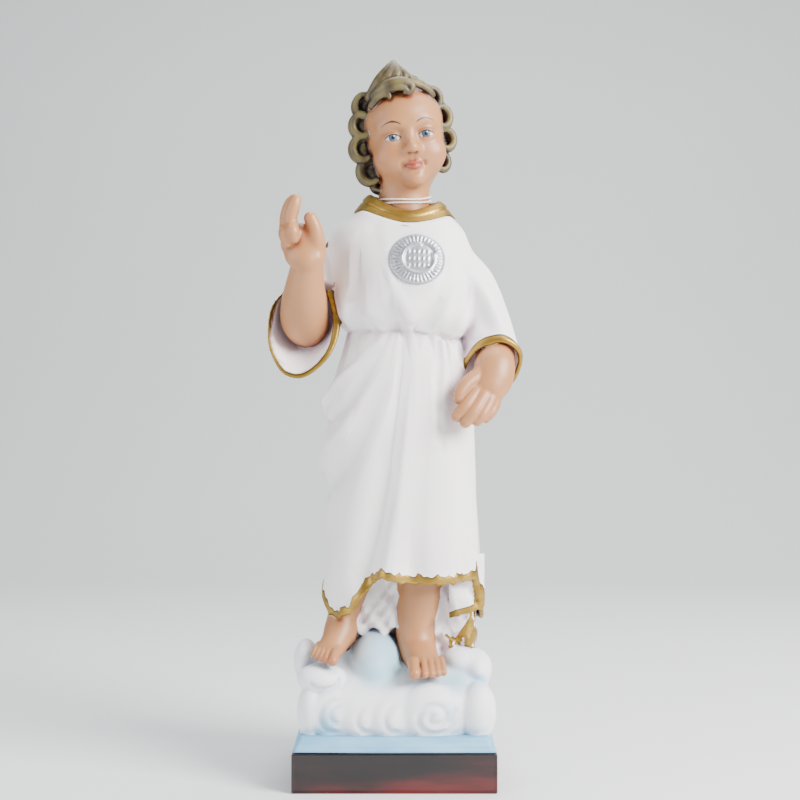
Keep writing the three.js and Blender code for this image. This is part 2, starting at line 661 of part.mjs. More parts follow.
// Rounded tufts in staggered rows, with grooves between them
function curlRelief(share, fall) {
  const row = fall * CURLS.rows;
  const shift = Math.floor(row) % 2 ? 0.5 : 0;
  const acrossTuft = Math.abs(Math.sin(Math.PI * (share * CURLS.around + shift)));
  const downTuft = Math.abs(Math.sin(Math.PI * row));
  return CURLS.relief * Math.sqrt(acrossTuft * downTuft);
}

function hair() {
  const [halfWidth, halfDepth, halfTall] = HAIR.half;
  const rings = Array.from({ length: CURLS.levels }, (_, level) => {
    const fall = (level + 1) / (CURLS.levels + 1);
    const up = Math.cos(Math.PI * fall);
    const swell = Math.sin(Math.PI * fall);
    return directions(CURLS.columns).map((degrees) => {
      const angle = degToRad(degrees);
      const relief = curlRelief(degrees / 360, fall) * swell;
      const x = Math.cos(angle) * (halfWidth * swell + relief);
      const y = -Math.sin(angle) * (halfDepth * swell + relief);
      return headPlace(x, y + HAIR.back + HAIR.nape * Math.max(-up, 0), up * halfTall + HAIR.up);
    });
  });
  const crown = headPlace(0, HAIR.back, HAIR.up + halfTall);
  const nape = headPlace(0, HAIR.back + HAIR.nape, HAIR.up - halfTall);
  const curls = SIDE_CURLS.flatMap(([reach, y, z, size]) =>
    [-1, 1].map((side) => {
      const place = headPlace(side * reach, y, z).toArray();
      return lump(place, [size, size, size], { sides: 6, rows: 4 });
    }),
  );
  const locks = LOCKS.map(({ radius, line }) => {
    const stations = line.map((point, index) => {
      const taper = 1 - 0.26 * index;
      return [...headPlace(...point).toArray(), radius * taper];
    });
    return limb(stations, { sides: 6 });
  });
  return [skin(crown, rings, nape), ...curls, ...locks];
}

// Fluted medallion that lies on the breast
function emblem() {
  const [x, z] = EMBLEM.middle;
  const [halfWidth, halfTall] = EMBLEM.half;
  const steps = EMBLEM.flutes * 2;
  const outline = new THREE.Shape(
    directions(steps).map((degrees, index) => {
      const reach = index % 2 ? EMBLEM.flute : 1;
      const angle = degToRad(degrees);
      return new THREE.Vector2(Math.cos(angle) * halfWidth * reach, Math.sin(angle) * halfTall * reach);
    }),
  );
  const inner = new THREE.Shape();
  const [discWidth, discTall] = [halfWidth * EMBLEM.disc, halfTall * EMBLEM.disc];
  inner.absellipse(EMBLEM.shift, EMBLEM.shift, discWidth, discTall, 0, 2 * Math.PI);
  const span = 8;
  const lean = Math.atan((frontReach(x, z - span) - frontReach(x, z + span)) / (2 * span));
  const turn = Math.atan((frontReach(x - span, z) - frontReach(x + span, z)) / (2 * span));
  const seat = (shape, proud) => {
    const plate = new THREE.ExtrudeGeometry(shape, {
      depth: EMBLEM.root + proud,
      bevelEnabled: false,
      curveSegments: 7,
    });
    plate.translate(0, 0, -EMBLEM.root);
    plate.rotateX(Math.PI / 2 - lean);
    plate.rotateZ(turn);
    plate.translate(x, -frontReach(x, z), z);
    return solid(plate);
  };
  return [seat(outline, EMBLEM.proud), seat(inner, EMBLEM.discProud)];
}

// How far the robe's front stands out at a place on the breast
function frontReach(x, z) {
  const [middleX, middleY] = robeMiddle(z);
  const halfWidth = (along(ROBE, z, 2) - along(ROBE, z, 1)) / 2;
  const halfDepth = (along(ROBE, z, 4) - along(ROBE, z, 3)) / 2;
  const across = Math.abs((x - middleX) / halfWidth) ** ROBE_SQUARENESS;
  return halfDepth * (1 - across) ** (1 / ROBE_SQUARENESS) - middleY;
}

// Thread wound round the neck
function neckThread() {
  const stepsPerTurn = 18;
  const count = stepsPerTurn * THREAD.turns;
  const reach = NECK.radius + THREAD.clear;
  const points = Array.from({ length: count + 1 }, (_, index) => {
    const turn = index / stepsPerTurn;
    const angle = 2 * Math.PI * turn + Math.PI / 2;
    const sag = -2.6 * Math.max(-Math.sin(angle), 0);
    const z = THREAD.middle + (turn - THREAD.turns / 2) * THREAD.pitch + sag;
    return at(NECK.middle[0] + reach * Math.cos(angle), NECK.middle[1] + reach * Math.sin(angle), z);
  });
  const sides = 5;
  const section = new THREE.Shape(
    directions(sides).map((degrees) => {
      const angle = degToRad(degrees);
      return new THREE.Vector2(Math.cos(angle) * THREAD.strand, Math.sin(angle) * THREAD.strand);
    }),
  );
  const extrudePath = new THREE.CatmullRomCurve3(points);
  return solid(new THREE.ExtrudeGeometry(section, { extrudePath, steps: count }));
}

const PAINTED_PLASTER = { color: 0xf4f1ee, roughness: 0.5, metalness: 0 };
const DARK_LACQUER = { color: 0x3d0f12, roughness: 0.22, metalness: 0 };
const WHITE_THREAD = { color: 0xf6f4f0, roughness: 0.85, metalness: 0 };

function piece(name, body, finish) {
  const mesh = new THREE.Mesh(geometryOf(body), new THREE.MeshStandardMaterial(finish));
  mesh.name = name;
  return mesh;
}

const figure = joined([
  bed(),
  ...clouds(),
  ...legs(),
  ...underDrape(),
  robe(),
  sleeve(RIGHT_SLEEVE, 2.2, 0.34),
  sleeve(LEFT_SLEEVE, 2.2, 0.22),
  ...rightArm(),
  ...leftArm(),
  ...emblem(),
  ...head(),
  ...hair(),
]);

const statue = new THREE.Group();
statue.add(piece("plinth", plinthBlock(), DARK_LACQUER));
statue.add(piece("figure", figure, PAINTED_PLASTER));
statue.add(piece("neck_thread", neckThread(), WHITE_THREAD));

export default statue;
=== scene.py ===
import math

import bpy
import numpy as np
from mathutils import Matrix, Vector


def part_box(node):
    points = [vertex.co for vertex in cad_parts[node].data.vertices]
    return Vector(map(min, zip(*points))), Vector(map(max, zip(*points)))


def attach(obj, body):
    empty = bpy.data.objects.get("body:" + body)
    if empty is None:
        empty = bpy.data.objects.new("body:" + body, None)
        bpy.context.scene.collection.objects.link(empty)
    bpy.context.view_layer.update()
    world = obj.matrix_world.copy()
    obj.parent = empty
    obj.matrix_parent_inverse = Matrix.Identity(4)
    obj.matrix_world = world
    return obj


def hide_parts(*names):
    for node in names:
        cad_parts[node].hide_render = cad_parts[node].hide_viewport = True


bl_info = {
    "name": "Blessing child statuette",
    "version": (1, 0, 0),
    "blender": (4, 5, 0),
    "location": "3D View > Sidebar > Statuette",
    "description": "Sculpts and paints a plaster child figure on clouds around its packed frame",
    "category": "Object",
}

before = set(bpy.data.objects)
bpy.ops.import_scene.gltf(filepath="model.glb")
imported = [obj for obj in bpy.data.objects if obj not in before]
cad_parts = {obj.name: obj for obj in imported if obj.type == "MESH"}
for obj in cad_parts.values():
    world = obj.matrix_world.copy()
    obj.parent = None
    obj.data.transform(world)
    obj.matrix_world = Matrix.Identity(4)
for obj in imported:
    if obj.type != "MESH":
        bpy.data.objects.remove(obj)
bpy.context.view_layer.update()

# The sculpting is done in millimetres of a statuette 400.7 mm tall, then scaled to the frame's height
MODEL_HEIGHT = 400.7
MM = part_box("figure")[1][2] / MODEL_HEIGHT
PLINTH_LOW, PLINTH_HIGH = [np.array(corner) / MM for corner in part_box("plinth")]
GRID = 0.6
BLOCK = 12.0
CUBE = 6.0
FAR = 1000.0


# Smooth curve through rows of place, value, ...
def along(rows, places, column=1):
    table = np.asarray([[row[0], row[column]] for row in rows], float)
    x, y = table[:, 0], table[:, 1]
    slope = np.gradient(y, x)
    held = np.clip(places, x[0], x[-1])
    cell = np.clip(np.searchsorted(x, held, side="right") - 1, 0, len(x) - 2)
    span = x[cell + 1] - x[cell]
    t = (held - x[cell]) / span
    return (
        y[cell] * (1 + 2 * t) * (1 - t) ** 2
        + y[cell + 1] * t * t * (3 - 2 * t)
        + span * t * (1 - t) * ((1 - t) * slope[cell] - t * slope[cell + 1])
    )


def smooth_min(a, b, blend):
    if blend <= 0:
        return np.minimum(a, b)
    overlap = np.maximum(blend - np.abs(a - b), 0) / blend
    return np.minimum(a, b) - overlap * overlap * blend * 0.25


def smooth_max(a, b, blend):
    return -smooth_min(-a, -b, blend)


def ramp(value, start, end):
    t = np.clip((value - start) / (end - start), 0, 1)
    return t * t * (3 - 2 * t)


def length(vectors):
    return np.sqrt(np.einsum("...i,...i->...", vectors, vectors))


# Rotation by degrees about X, then Y, then Z
def rotation(about_x=0.0, about_y=0.0, about_z=0.0):
    cx, sx = math.cos(math.radians(about_x)), math.sin(math.radians(about_x))
    cy, sy = math.cos(math.radians(about_y)), math.sin(math.radians(about_y))
    cz, sz = math.cos(math.radians(about_z)), math.sin(math.radians(about_z))
    turn_x = np.array([[1, 0, 0], [0, cx, -sx], [0, sx, cx]])
    turn_y = np.array([[cy, 0, sy], [0, 1, 0], [-sy, 0, cy]])
    turn_z = np.array([[cz, -sz, 0], [sz, cz, 0], [0, 0, 1]])
    return turn_z @ turn_y @ turn_x


class Shape:
    """Signed distance to a solid, negative inside, and the box that holds it."""

    def __init__(self, distance, low, high):
        self.distance = distance
        self.low = np.array(low, float)
        self.high = np.array(high, float)

    def moved(self, turn, middle):
        corners = np.array([[x, y, z] for x in (0, 1) for y in (0, 1) for z in (0, 1)])
        box = (self.low + corners * (self.high - self.low)) @ turn.T + middle
        return Shape(lambda p: self.distance((p - middle) @ turn), box.min(axis=0), box.max(axis=0))


def ball(centre, halves, turn=(0, 0, 0)):
    centre, halves = np.array(centre, float), np.array(halves, float)
    matrix = rotation(*turn)

    def distance(p):
        local = ((p - centre) @ matrix) / halves
        reach = length(local)
        return reach * (reach - 1) / np.maximum(length(local / halves), 1e-6)

    return Shape(distance, centre - halves.max(), centre + halves.max())


# Points on a smooth curve through stations, with any further values of each station
def spline(stations, steps):
    rows = np.array(stations, float)
    count = len(rows)
    t = np.linspace(0, count - 1, (count - 1) * steps + 1)
    numbered = [[index, *row] for index, row in enumerate(rows)]
    return np.stack([along(numbered, t, column + 1) for column in range(rows.shape[1])], axis=1)


# Rounded limb through stations of x, y, z, radius
def limb(stations, steps=4, stretch=(1, 1, 1)):
    rows = spline(stations, steps)
    stretch = np.array(stretch, float)
    points, radii = rows[:, :3] / stretch, rows[:, 3]
    start, axis = points[:-1], np.diff(points, axis=0)
    square = np.maximum((axis * axis).sum(axis=1), 1e-9)[:, None]
    first, growth = radii[:-1, None], np.diff(radii)[:, None]

    def distance(p):
        local = (p / stretch).T
        onwards = axis @ local - (start * axis).sum(axis=1)[:, None]
        apart = (local * local).sum(axis=0) - 2 * (start @ local) + (start * start).sum(axis=1)[:, None]
        t = np.clip(onwards / square, 0, 1)
        apart += t * (t * square - 2 * onwards)
        return (np.sqrt(np.maximum(apart, 0)) - first - growth * t).min(axis=0)

    bulk = (radii * stretch.max()).max()
    return Shape(distance, rows[:, :3].min(axis=0) - bulk, rows[:, :3].max(axis=0) + bulk)


def fused(shapes, blend):
    def distance(p):
        total = shapes[0].distance(p)
        for shape in shapes[1:]:
            total = smooth_min(total, shape.distance(p), blend)
        return total

    return Shape(
        distance,
        np.min([shape.low for shape in shapes], axis=0),
        np.max([shape.high for shape in shapes], axis=0),
    )


def carved(shape, cutter, blend):
    return Shape(
        lambda p: smooth_max(shape.distance(p), -cutter.distance(p), blend),
        shape.low,
        shape.high,
    )


# Upright skin round a leaning middle line: rows of height, left, right, front, back edge
class Column:
    """Radial skin with folds, kept as a table over direction and height."""

    DIRECTIONS = 1440
    LIFT = 0.4

    def __init__(self, rows, squareness, bottom, top, relief=None, height_shift=None):
        self.rows, self.squareness = rows, squareness
        self.bottom, self.top = bottom, top
        self.lifts = np.arange(bottom - 4, top + 4, self.LIFT)
        self.middle_x = (along(rows, self.lifts, 1) + along(rows, self.lifts, 2)) / 2
        self.middle_y = (along(rows, self.lifts, 3) + along(rows, self.lifts, 4)) / 2
        degrees = np.arange(self.DIRECTIONS) * 360 / self.DIRECTIONS
        degrees, heights = np.meshgrid(degrees, self.lifts, indexing="ij")
        rated = heights + (height_shift(degrees, heights) if height_shift else 0)
        plain = self.plain_reach(degrees, rated)
        self.table = plain + (relief(degrees, rated, plain) if relief else 0)
        across = np.gradient(self.table, 360 / self.DIRECTIONS, axis=0) / np.radians(1) / plain
        upwards = np.gradient(self.table, self.LIFT, axis=1)
        self.slant = 1 / np.sqrt(1 + np.clip(across**2 + upwards**2, 0, 9))

    def plain_reach(self, degrees, heights):
        half_width = (along(self.rows, heights, 2) - along(self.rows, heights, 1)) / 2
        half_depth = (along(self.rows, heights, 4) - along(self.rows, heights, 3)) / 2
        angle = np.radians(degrees)
        across = np.abs(np.cos(angle) / half_width) ** self.squareness
        through = np.abs(np.sin(angle) / half_depth) ** self.squareness
        return (across + through) ** (-1 / self.squareness)

    def polar(self, p):
        x = p[:, 0] - np.interp(p[:, 2], self.lifts, self.middle_x)
        y = p[:, 1] - np.interp(p[:, 2], self.lifts, self.middle_y)
        return np.degrees(np.arctan2(-y, x)) % 360, np.hypot(x, y)

    def looked_up(self, table, degrees, heights):
        row = degrees / 360 * self.DIRECTIONS
        column = np.clip((heights - self.bottom + 4) / self.LIFT, 0, table.shape[1] - 1.001)
        i, j = row.astype(int), column.astype(int)
        s, t = row - i, column - j
        i, k = i % self.DIRECTIONS, (i + 1) % self.DIRECTIONS
        low = table[i, j] * (1 - t) + table[i, j + 1] * t
        high = table[k, j] * (1 - t) + table[k, j + 1] * t
        return low * (1 - s) + high * s

    def side(self, p):
        degrees, reach = self.polar(p)
        return (reach - self.looked_up(self.table, degrees, p[:, 2])) * self.looked_up(
            self.slant, degrees, p[:, 2]
        )

    # Direction in which a place x of the front face is seen from the middle
    def facing(self, x, z):
        middle_x = np.interp(z, self.lifts, self.middle_x)
        half_width = (along(self.rows, [z], 2) - along(self.rows, [z], 1)) / 2
        half_depth = (along(self.rows, [z], 4) - along(self.rows, [z], 3)) / 2
        share = np.clip(abs(x - middle_x) / half_width, 0, 0.995)
        depth = half_depth * (1 - share**self.squareness) ** (1 / self.squareness)
        return float(np.degrees(np.arctan2(depth, x - middle_x))[0])

    def box(self):
        table = np.array(self.rows, float)[:, 1:]
        return (
            [table[:, 0].min() - 6, table[:, 2].min() - 6, self.bottom],
            [table[:, 1].max() + 6, table[:, 3].max() + 6, self.top],
        )


# Robe: height, right edge x, left edge x, front y, back y of the plain form
ROBE_ROWS = [
    [60, -39, 49, -35, 40],
    [96, -39.5, 50, -37, 39],
    [124, -37.6, 48.2, -37, 37],
    [156, -38.2, 46.2, -36, 34],
    [187, -38.6, 45.2, -34.5, 31],
    [209, -37.6, 44.2, -32, 28],
    [232, -31, 41.5, -28.5, 24],
    [244, -27.6, 39, -26, 21.5],
    [247.6, -27.4, 38.6, -25.6, 21.3],
    [250.5, -29.6, 41, -28.6, 22.6],
    [255, -32.6, 43.6, -31.8, 24],
    [262, -34, 44.5, -33, 24.5],
    [275, -34, 45, -31.5, 24],
    [288, -35.5, 43, -28.6, 23],
    [299, -37, 41.5, -25.5, 20.5],
    [306, -34, 38.5, -23.5, 19],
    [312, -26, 33, -21.8, 17.5],
    [318, -18, 27, -19, 15],
]
ROBE_SQUARENESS = 2.35
WAIST = 247.6
plain_robe = Column(ROBE_ROWS, ROBE_SQUARENESS, 60, 318)


# Line of a fold: rows of height, direction that go round the right side, then rows of height, x on the front
def fold_line(front, beyond=()):
    return [*beyond, *[[z, plain_robe.facing(x, z)] for z, x in front]]


# Fold: its line, then the width and relief at the line's lower and upper end
SKIRT_FOLDS = [
    (fold_line([(221, -29.8), (228.5, -21.2), (236, -12.6), (244, -5.2)], [(198, 205), (207, 183), (213, 166)]),
     (6.5, 3), (5, 1.6)),
    (fold_line([(204, -28.6), (212.5, -22.5), (221, -15.1), (230, -8.9), (242, -3)], [(192, 196), (198, 166)]),
     (6, 2.6), (-2.8, -1.8)),
    (fold_line([(190, -29.8), (200, -22.5), (209, -16.3), (221, -9.5), (232, -5.2), (243, -0.9)],
               [(166, 208), (175.6, 180), (184, 158)]), (8.5, 3), (5, 2)),
    (fold_line([(169, -29.9), (177, -22.5), (188, -16.3), (199, -11.4), (210, -7.7), (222, -3.4), (240, 1)],
               [(152, 205), (161, 166)]), (7, 2.6), (-3.4, -1.6)),
    (fold_line([(112, -32), (130, -27.4), (142, -23.7), (155, -20.6), (167, -16.9), (179, -13.2), (192, -8.9),
                (204, -4.6), (217, -0.9), (231, 1.5), (242, 2.8)]), (9, 2.4), (3, 1.8)),
    (fold_line([(113, -16.5), (122.6, -13.8), (135, -10.2), (147, -7.1), (160, -4.6), (172, -2.8), (184, -0.9),
                (196.5, 0.9), (209, 2.8), (219, 4), (243, 5.2)]), (6.5, 2), (-5.6, -2.4)),
    (fold_line([(112, -3.8), (121, -2.8), (135, -0.3), (147, 1.5), (160, 2.8), (172, 4), (184, 5.2),
                (201, 7.1), (216, 8.3), (229, 8.9), (243, 7.7)]), (7.5, 2.6), (3, 1.6)),
    (fold_line([(112, 10.5), (125, 9.5), (140, 8.9), (155, 8.9), (169, 10.2), (184, 11.4), (201, 12.6),
                (216, 13.2), (240, 12)]), (7, 2), (-2.4, -1)),
    (fold_line([(112, 19), (140, 18), (170, 19), (200, 19.4), (216, 19.4), (240, 18)]), (8, 2.4), (0.8, 0.8)),
    (fold_line([(190, 24.9), (204, 24.4), (216, 23.7), (243, 23.7)]), (1.8, 1.5), (-0.8, -1.7)),
    (fold_line([(112, 30), (150, 31), (190, 30), (216, 28), (240, 27)]), (9, 3), (1.2, 0.8)),
    (fold_line([(112, 38.5), (130, 38), (150, 37.7), (184, 37.9)]), (3.4, 2.6), (-1.8, -0.6)),
    (fold_line([(218, 31), (226, 30.2), (243, 29.6)]), (1.8, 1.4), (-0.9, -1.6)),
    (fold_line([], [(126, 200), (138.7, 180), (148, 166), (160, 150)]), (7, 6), (3.4, 0.4)),
    (fold_line([], [(112, 205), (129, 178), (136, 160)]), (5, 5), (-2.4, -0.4)),
    (fold_line([], [(90, 172), (104, 170), (122, 176)]), (8, 6), (2.8, 0.6)),
    (fold_line([], [(90, 150), (104, 148), (118, 150)]), (5, 5), (-1.6, -0.4)),
]
BODICE_FOLDS = [
    (fold_line([(251.6, -21.7), (265, -20.5), (280.7, -19.8), (293.7, -19.8)]), (4.6, 2.2), (-6, -1.4)),
    (fold_line([(252, -25.6), (273, -24.6), (293.7, -23.3)]), (2.6, 2.6), (1.6, 0.6)),
    (fold_line([(276, -25.9), (285, -25.9)]), (1.6, 1.6), (-1.2, -0.8)),
    (fold_line([(248.5, -5), (253, -11), (261, -14.4), (273, -15.6), (288, -15.6)]), (3, 2.6), (2, 0.9)),
    (fold_line([(250, -1), (259, -6.4), (273, -8.7), (288, -9.5), (302, -12)]), (3, 3.6), (-2.6, -0.7)),
    (fold_line([(252, 9), (255, 7.4), (262, 2.8), (271.5, -1), (281, -4.1), (292, -5)]), (2.6, 3), (2.2, 0.8)),
    (fold_line([(249.5, 3), (253, 1.4), (257, -0.3)]), (2, 1.6), (-2.6, -0.8)),
    (fold_line([(248, 12), (254, 17.4), (262, 22.7), (273, 27.3), (282, 29.5)]), (3, 3), (-3, -0.7)),
    (fold_line([(249, 20), (256, 26), (266, 31), (280, 34)]), (3, 3.4), (1.8, 0.8)),
    (fold_line([(249.5, 27), (253, 30), (259, 35)]), (1.8, 2), (-1.8, -0.5)),
    (fold_line([(266, 41.1), (276, 41.3), (286, 41.1)]), (1.5, 1.3), (-1.8, -1)),
    (fold_line([(250, 34), (262, 37.5), (284, 38.5)]), (3, 3), (1.4, 0.6)),
]
BACK = {"folds": 9, "first": 208, "last": 335, "gather": 0.78, "relief": 2.6}
GATHER = {"pleat": 5.4, "skirt": 0.9, "bodice": 0.8, "skirt_fade": 9.0, "bodice_fade": 6.0}


def fold_relief(fold, degrees, heights, reach):
    line, width, relief = fold
    low, high = line[0][0], line[-1][0]
    total = np.zeros_like(heights)
    touched = np.flatnonzero((heights.max(axis=0) > low - 13) & (heights.min(axis=0) < high + 13))
    span = slice(touched[0], touched[-1] + 1)
    heights, degrees, reach = heights[:, span], degrees[:, span], reach[:, span]
    rise = np.clip((heights - low) / (high - low), 0, 1)
    fade = ramp(-np.maximum(low - heights, heights - high), -13, 0)
    fine = np.linspace(low, high, 200)
    off = (degrees - np.interp(heights, fine, along(line, fine)) + 540) % 360 - 180
    share = np.radians(off) * reach / (width[0] + (width[1] - width[0]) * rise)
    total[:, span] = (relief[0] + (relief[1] - relief[0]) * rise) * fade * np.exp(-share * share)
    return total


def back_fold_relief(degrees, heights, reach):
    total = np.zeros_like(heights)
    centre = (BACK["first"] + BACK["last"]) / 2
    for index in range(BACK["folds"]):
        share = index / (BACK["folds"] - 1)
        at_hem = BACK["first"] + (BACK["last"] - BACK["first"]) * share
        drift = 7 * math.sin(2.4 * index + 0.6)
        line = [[70, at_hem], [150, at_hem + drift * 0.4], [WAIST, centre + (at_hem - centre) * BACK["gather"]]]
        sign = -1 if index % 2 else 1
        strength = BACK["relief"] * (0.75 + 0.25 * math.sin(1.7 * index))
        total += fold_relief((line, (9, 3.4), (sign * strength, sign * 1.2)), degrees, heights, reach)
    return total


def back_bodice_relief(degrees, heights, reach):
    total = np.zeros_like(heights)
    for index, base in enumerate((226, 246, 262, 278, 296, 316)):
        line = [[WAIST, base], [268, base + 4 * math.sin(index * 2.1)], [296, base + (base - 270) * 0.35]]
        sign = -1 if index % 2 else 1
        total += fold_relief((line, (3.4, 7), (sign * 1.9, sign * 0.3)), degrees, heights, reach)
    return total


def robe_relief(degrees, heights, reach):
    skirt = back_fold_relief(degrees, heights, reach)
    for fold in SKIRT_FOLDS:
        skirt += fold_relief(fold, degrees, heights, reach)
    bodice = back_bodice_relief(degrees, heights, reach)
    for fold in BODICE_FOLDS:
        bodice += fold_relief(fold, degrees, heights, reach)
    arc = np.radians(degrees) * 36
    pleats = np.sin(2 * math.pi * arc / GATHER["pleat"] + 0.9 * np.sin(arc / 11))
    skirt += GATHER["skirt"] * pleats * np.exp(-np.abs(WAIST - heights) / GATHER["skirt_fade"])
    shifted = np.sin(2 * math.pi * arc / (GATHER["pleat"] * 1.25) + 1.3 * np.sin(arc / 9))
    bodice += GATHER["bodice"] * shifted * np.exp(-np.abs(heights - WAIST) / GATHER["bodice_fade"])
    share = ramp(heights, WAIST - 1, WAIST + 1)
    crease = -1.6 * np.exp(-(((heights - WAIST) / 1.5) ** 2))
    return skirt * (1 - share) + bodice * share + crease


# The waist dips on the figure's left
def waist_shift(degrees, heights):
    dip = 4.6 * np.exp(-((((degrees - 28 + 180) % 360 - 180) / 26) ** 2))
    return dip * np.exp(-(((heights - 244) / 12) ** 2))


# Hem: direction, height
HEM_FRONT = [(101.5, -40.3), (89.6, -36), (91.5, -27), (94.5, -22.5), (104, -17.5), (111.4, -10.2),
             (112.6, -6.5), (110.4, 2), (109.6, 12), (109.2, 28), (109.6, 41)]
HEM_SIDE = [[0, 86], [8, 88], [16, 92], [21, 100], [25, 108]]
HEM_BACK = [[186, 98], [200, 90], [235, 81], [270, 78], [310, 80], [340, 84], [360, 86]]


def hem_height(degrees):
    front = sorted([plain_robe.facing(x, z), z] for z, x in HEM_FRONT)
    rows = [*HEM_SIDE, *front, *HEM_BACK]
    steps = 0.35 * np.sin(np.radians(degrees) * 34) + 0.25 * np.sin(np.radians(degrees) * 61 + 1)
    return along(rows, degrees) + steps


HEM = {"band": 4.6, "proud": 0.45, "wall": 2.3, "recess": 24}
COLLAR = {"middle": (5.6, -1.0), "width": 27.0, "front": 21.0, "back": 20.0}


def collar_height(degrees):
    angle = np.radians(degrees)
    return 315.6 - 8.8 * np.maximum(np.sin(angle), 0) ** 1.5 - 1.9 * np.cos(angle)


class Robe:
    """Skirt and bodice in one skin, open below the hem."""

    def __init__(self):
        self.column = Column(ROBE_ROWS, ROBE_SQUARENESS, 60, 318, robe_relief, waist_shift)
        self.degrees = np.arange(0, 360.5, 0.5)
        self.hem = hem_height(self.degrees)
        slope = np.gradient(self.hem, self.degrees) / np.radians(1) / 40
        self.hem_slant = 1 / np.sqrt(1 + slope**2)

    def above_hem(self, p):
        degrees, _ = self.column.polar(p)
        height = np.interp(degrees, self.degrees, self.hem)
        return (p[:, 2] - height) * np.interp(degrees, self.degrees, self.hem_slant)

    def gold(self, p):
        above = self.above_hem(p)
        degrees, _ = self.column.polar(p)
        ripple = 0.5 * np.sin(np.radians(degrees) * 47) + 0.4 * np.sin(np.radians(degrees) * 23 + 2)
        return above - HEM["band"] - ripple

    def body(self, p):
        above = self.above_hem(p)
        band = HEM["proud"] * (1 - ramp(above, HEM["band"] - 0.4, HEM["band"] + 0.3))
        side = self.column.side(p) - band * (p[:, 2] < 150)
        degrees = np.degrees(np.arctan2(-(p[:, 1] - COLLAR["middle"][1]), p[:, 0] - COLLAR["middle"][0])) % 360
        top = p[:, 2] - collar_height(degrees) - 1
        outside = smooth_max(smooth_max(side, -above, 1.2), top, 1.5)
        hollow = np.maximum(side + HEM["wall"], above - HEM["recess"])
        return smooth_max(outside, -hollow, 1.0)

    def shape(self):
        return Shape(self.body, *self.column.box())


def collar_shape():
    def distance(p):
        x, y = p[:, 0] - COLLAR["middle"][0], p[:, 1] - COLLAR["middle"][1]
        degrees = np.degrees(np.arctan2(-y, x)) % 360
        depth = np.where(y < 0, COLLAR["front"], COLLAR["back"])
        edge = 1 / np.sqrt((np.cos(np.radians(degrees)) / COLLAR["width"]) ** 2
                           + (np.sin(np.radians(degrees)) / depth) ** 2)
        reach = np.hypot(x, y)
        lift = p[:, 2] - collar_height(degrees)
        total = np.full(len(p), FAR)
        for inner, low, outer, high, radius in (
            (1.01, -1.2, 0.89, 2.9, 1.2),
            (1.02, -1.5, 1.02, -1.5, 1.15),
            (0.81, 5.0, 0.73, 6.8, 2.0),
            (0.86, 1.0, 0.76, 3.4, 2.0),
        ):
            start = np.stack([edge * inner, np.full_like(edge, low)], axis=1)
            run = np.stack([edge * (outer - inner), np.full_like(edge, high - low)], axis=1)
            offset = np.stack([reach, lift], axis=1) - start
            t = np.clip((offset * run).sum(axis=1) / np.maximum((run * run).sum(axis=1), 1e-6), 0, 1)
            total = smooth_min(total, length(offset - t[:, None] * run) - radius, 0.35)
        return total

    x, y = COLLAR["middle"]
    return Shape(distance, [x - 32, y - 26, 300], [x + 32, y + 26, 325])


# Sleeve: rows of middle, half width, half height, longer lower half, skew of the lower half
class Sleeve:
    """Swept sleeve whose mouth is hollow."""

    SAMPLES = 28

    def __init__(self, rows, wall, depth, folds):
        flat = [[*middle, *across, *up, drop, skew] for middle, across, up, drop, skew in rows]
        numbered = [[index, *row] for index, row in enumerate(flat)]
        t = np.linspace(0, len(rows) - 1, self.SAMPLES)
        self.frames = np.stack([along(numbered, t, column) for column in range(1, 12)], axis=1)
        normal = np.cross(self.frames[:, 3:6], self.frames[:, 6:9])
        normal /= length(normal)[:, None]
        onwards = np.gradient(self.frames[:, 0:3], axis=0)
        normal *= np.sign((normal * onwards).sum(axis=1))[:, None]
        self.normal = normal
        self.wall, self.depth, self.folds = wall, depth, folds

    def measured(self, p):
        offsets = p @ self.normal.T - (self.frames[:, 0:3] * self.normal).sum(axis=1)
        last = self.SAMPLES - 2
        index = np.clip((offsets > 0).sum(axis=1) - 1, 0, last)
        rows = np.arange(len(p))
        first, second = offsets[rows, index], offsets[rows, index + 1]
        gap = first - second
        t = np.clip(first / np.where(np.abs(gap) < 1e-6, 1e-6, gap), 0, 1)[:, None]
        f = self.frames[index] * (1 - t) + self.frames[index + 1] * t
        q = p - f[:, 0:3]
        wide, tall = length(f[:, 3:6]), length(f[:, 6:9])
        across = (q * f[:, 3:6]).sum(axis=1) / wide**2
        up = (q * f[:, 6:9]).sum(axis=1) / tall**2
        lower = up < 0
        up = np.where(lower, up / f[:, 9], up)
        across = across - np.where(lower, f[:, 10] * np.minimum(up * up, 1), 0)
        share = np.hypot(across, up)
        size = np.hypot(across * wide, up * tall * np.where(lower, f[:, 9], 1)) / np.maximum(share, 1e-6)
        place = (index + t[:, 0]) / (self.SAMPLES - 1)
        angle = np.arctan2(up, across)
        side = (share - 1) * size - self.folds(angle, place)
        return side, offsets[:, -1], -offsets[:, 0], place, across

    def body(self, p):
        side, beyond, before, place, across = self.measured(p)
        lip = 0.6 * ramp(place, 0.93, 0.97)
        solid = smooth_max(smooth_max(side - lip, beyond, 1.8), before, 2)
        start = 1 - self.depth
        inside = side + self.wall(across, place)
        hollow = smooth_max(inside, (start - place) * 60, 4)
        return smooth_max(solid, -hollow, 1.5)

    # Gold on the cut edge and a little of the outside; the lining stays white
    def gold(self, p):
        side, beyond, _, _, across = self.measured(p)
        lining = -side - self.wall(across, 1.0) * 0.95
        return np.maximum(np.maximum(-beyond - 3.6, lining), np.abs(self.body(p)) - 0.9)

    def shape(self):
        reach = length(self.frames[:, 3:6]).max() + length(self.frames[:, 6:9]).max() * 1.2
        return Shape(self.body, self.frames[:, 0:3].min(axis=0) - reach, self.frames[:, 0:3].max(axis=0) + reach)


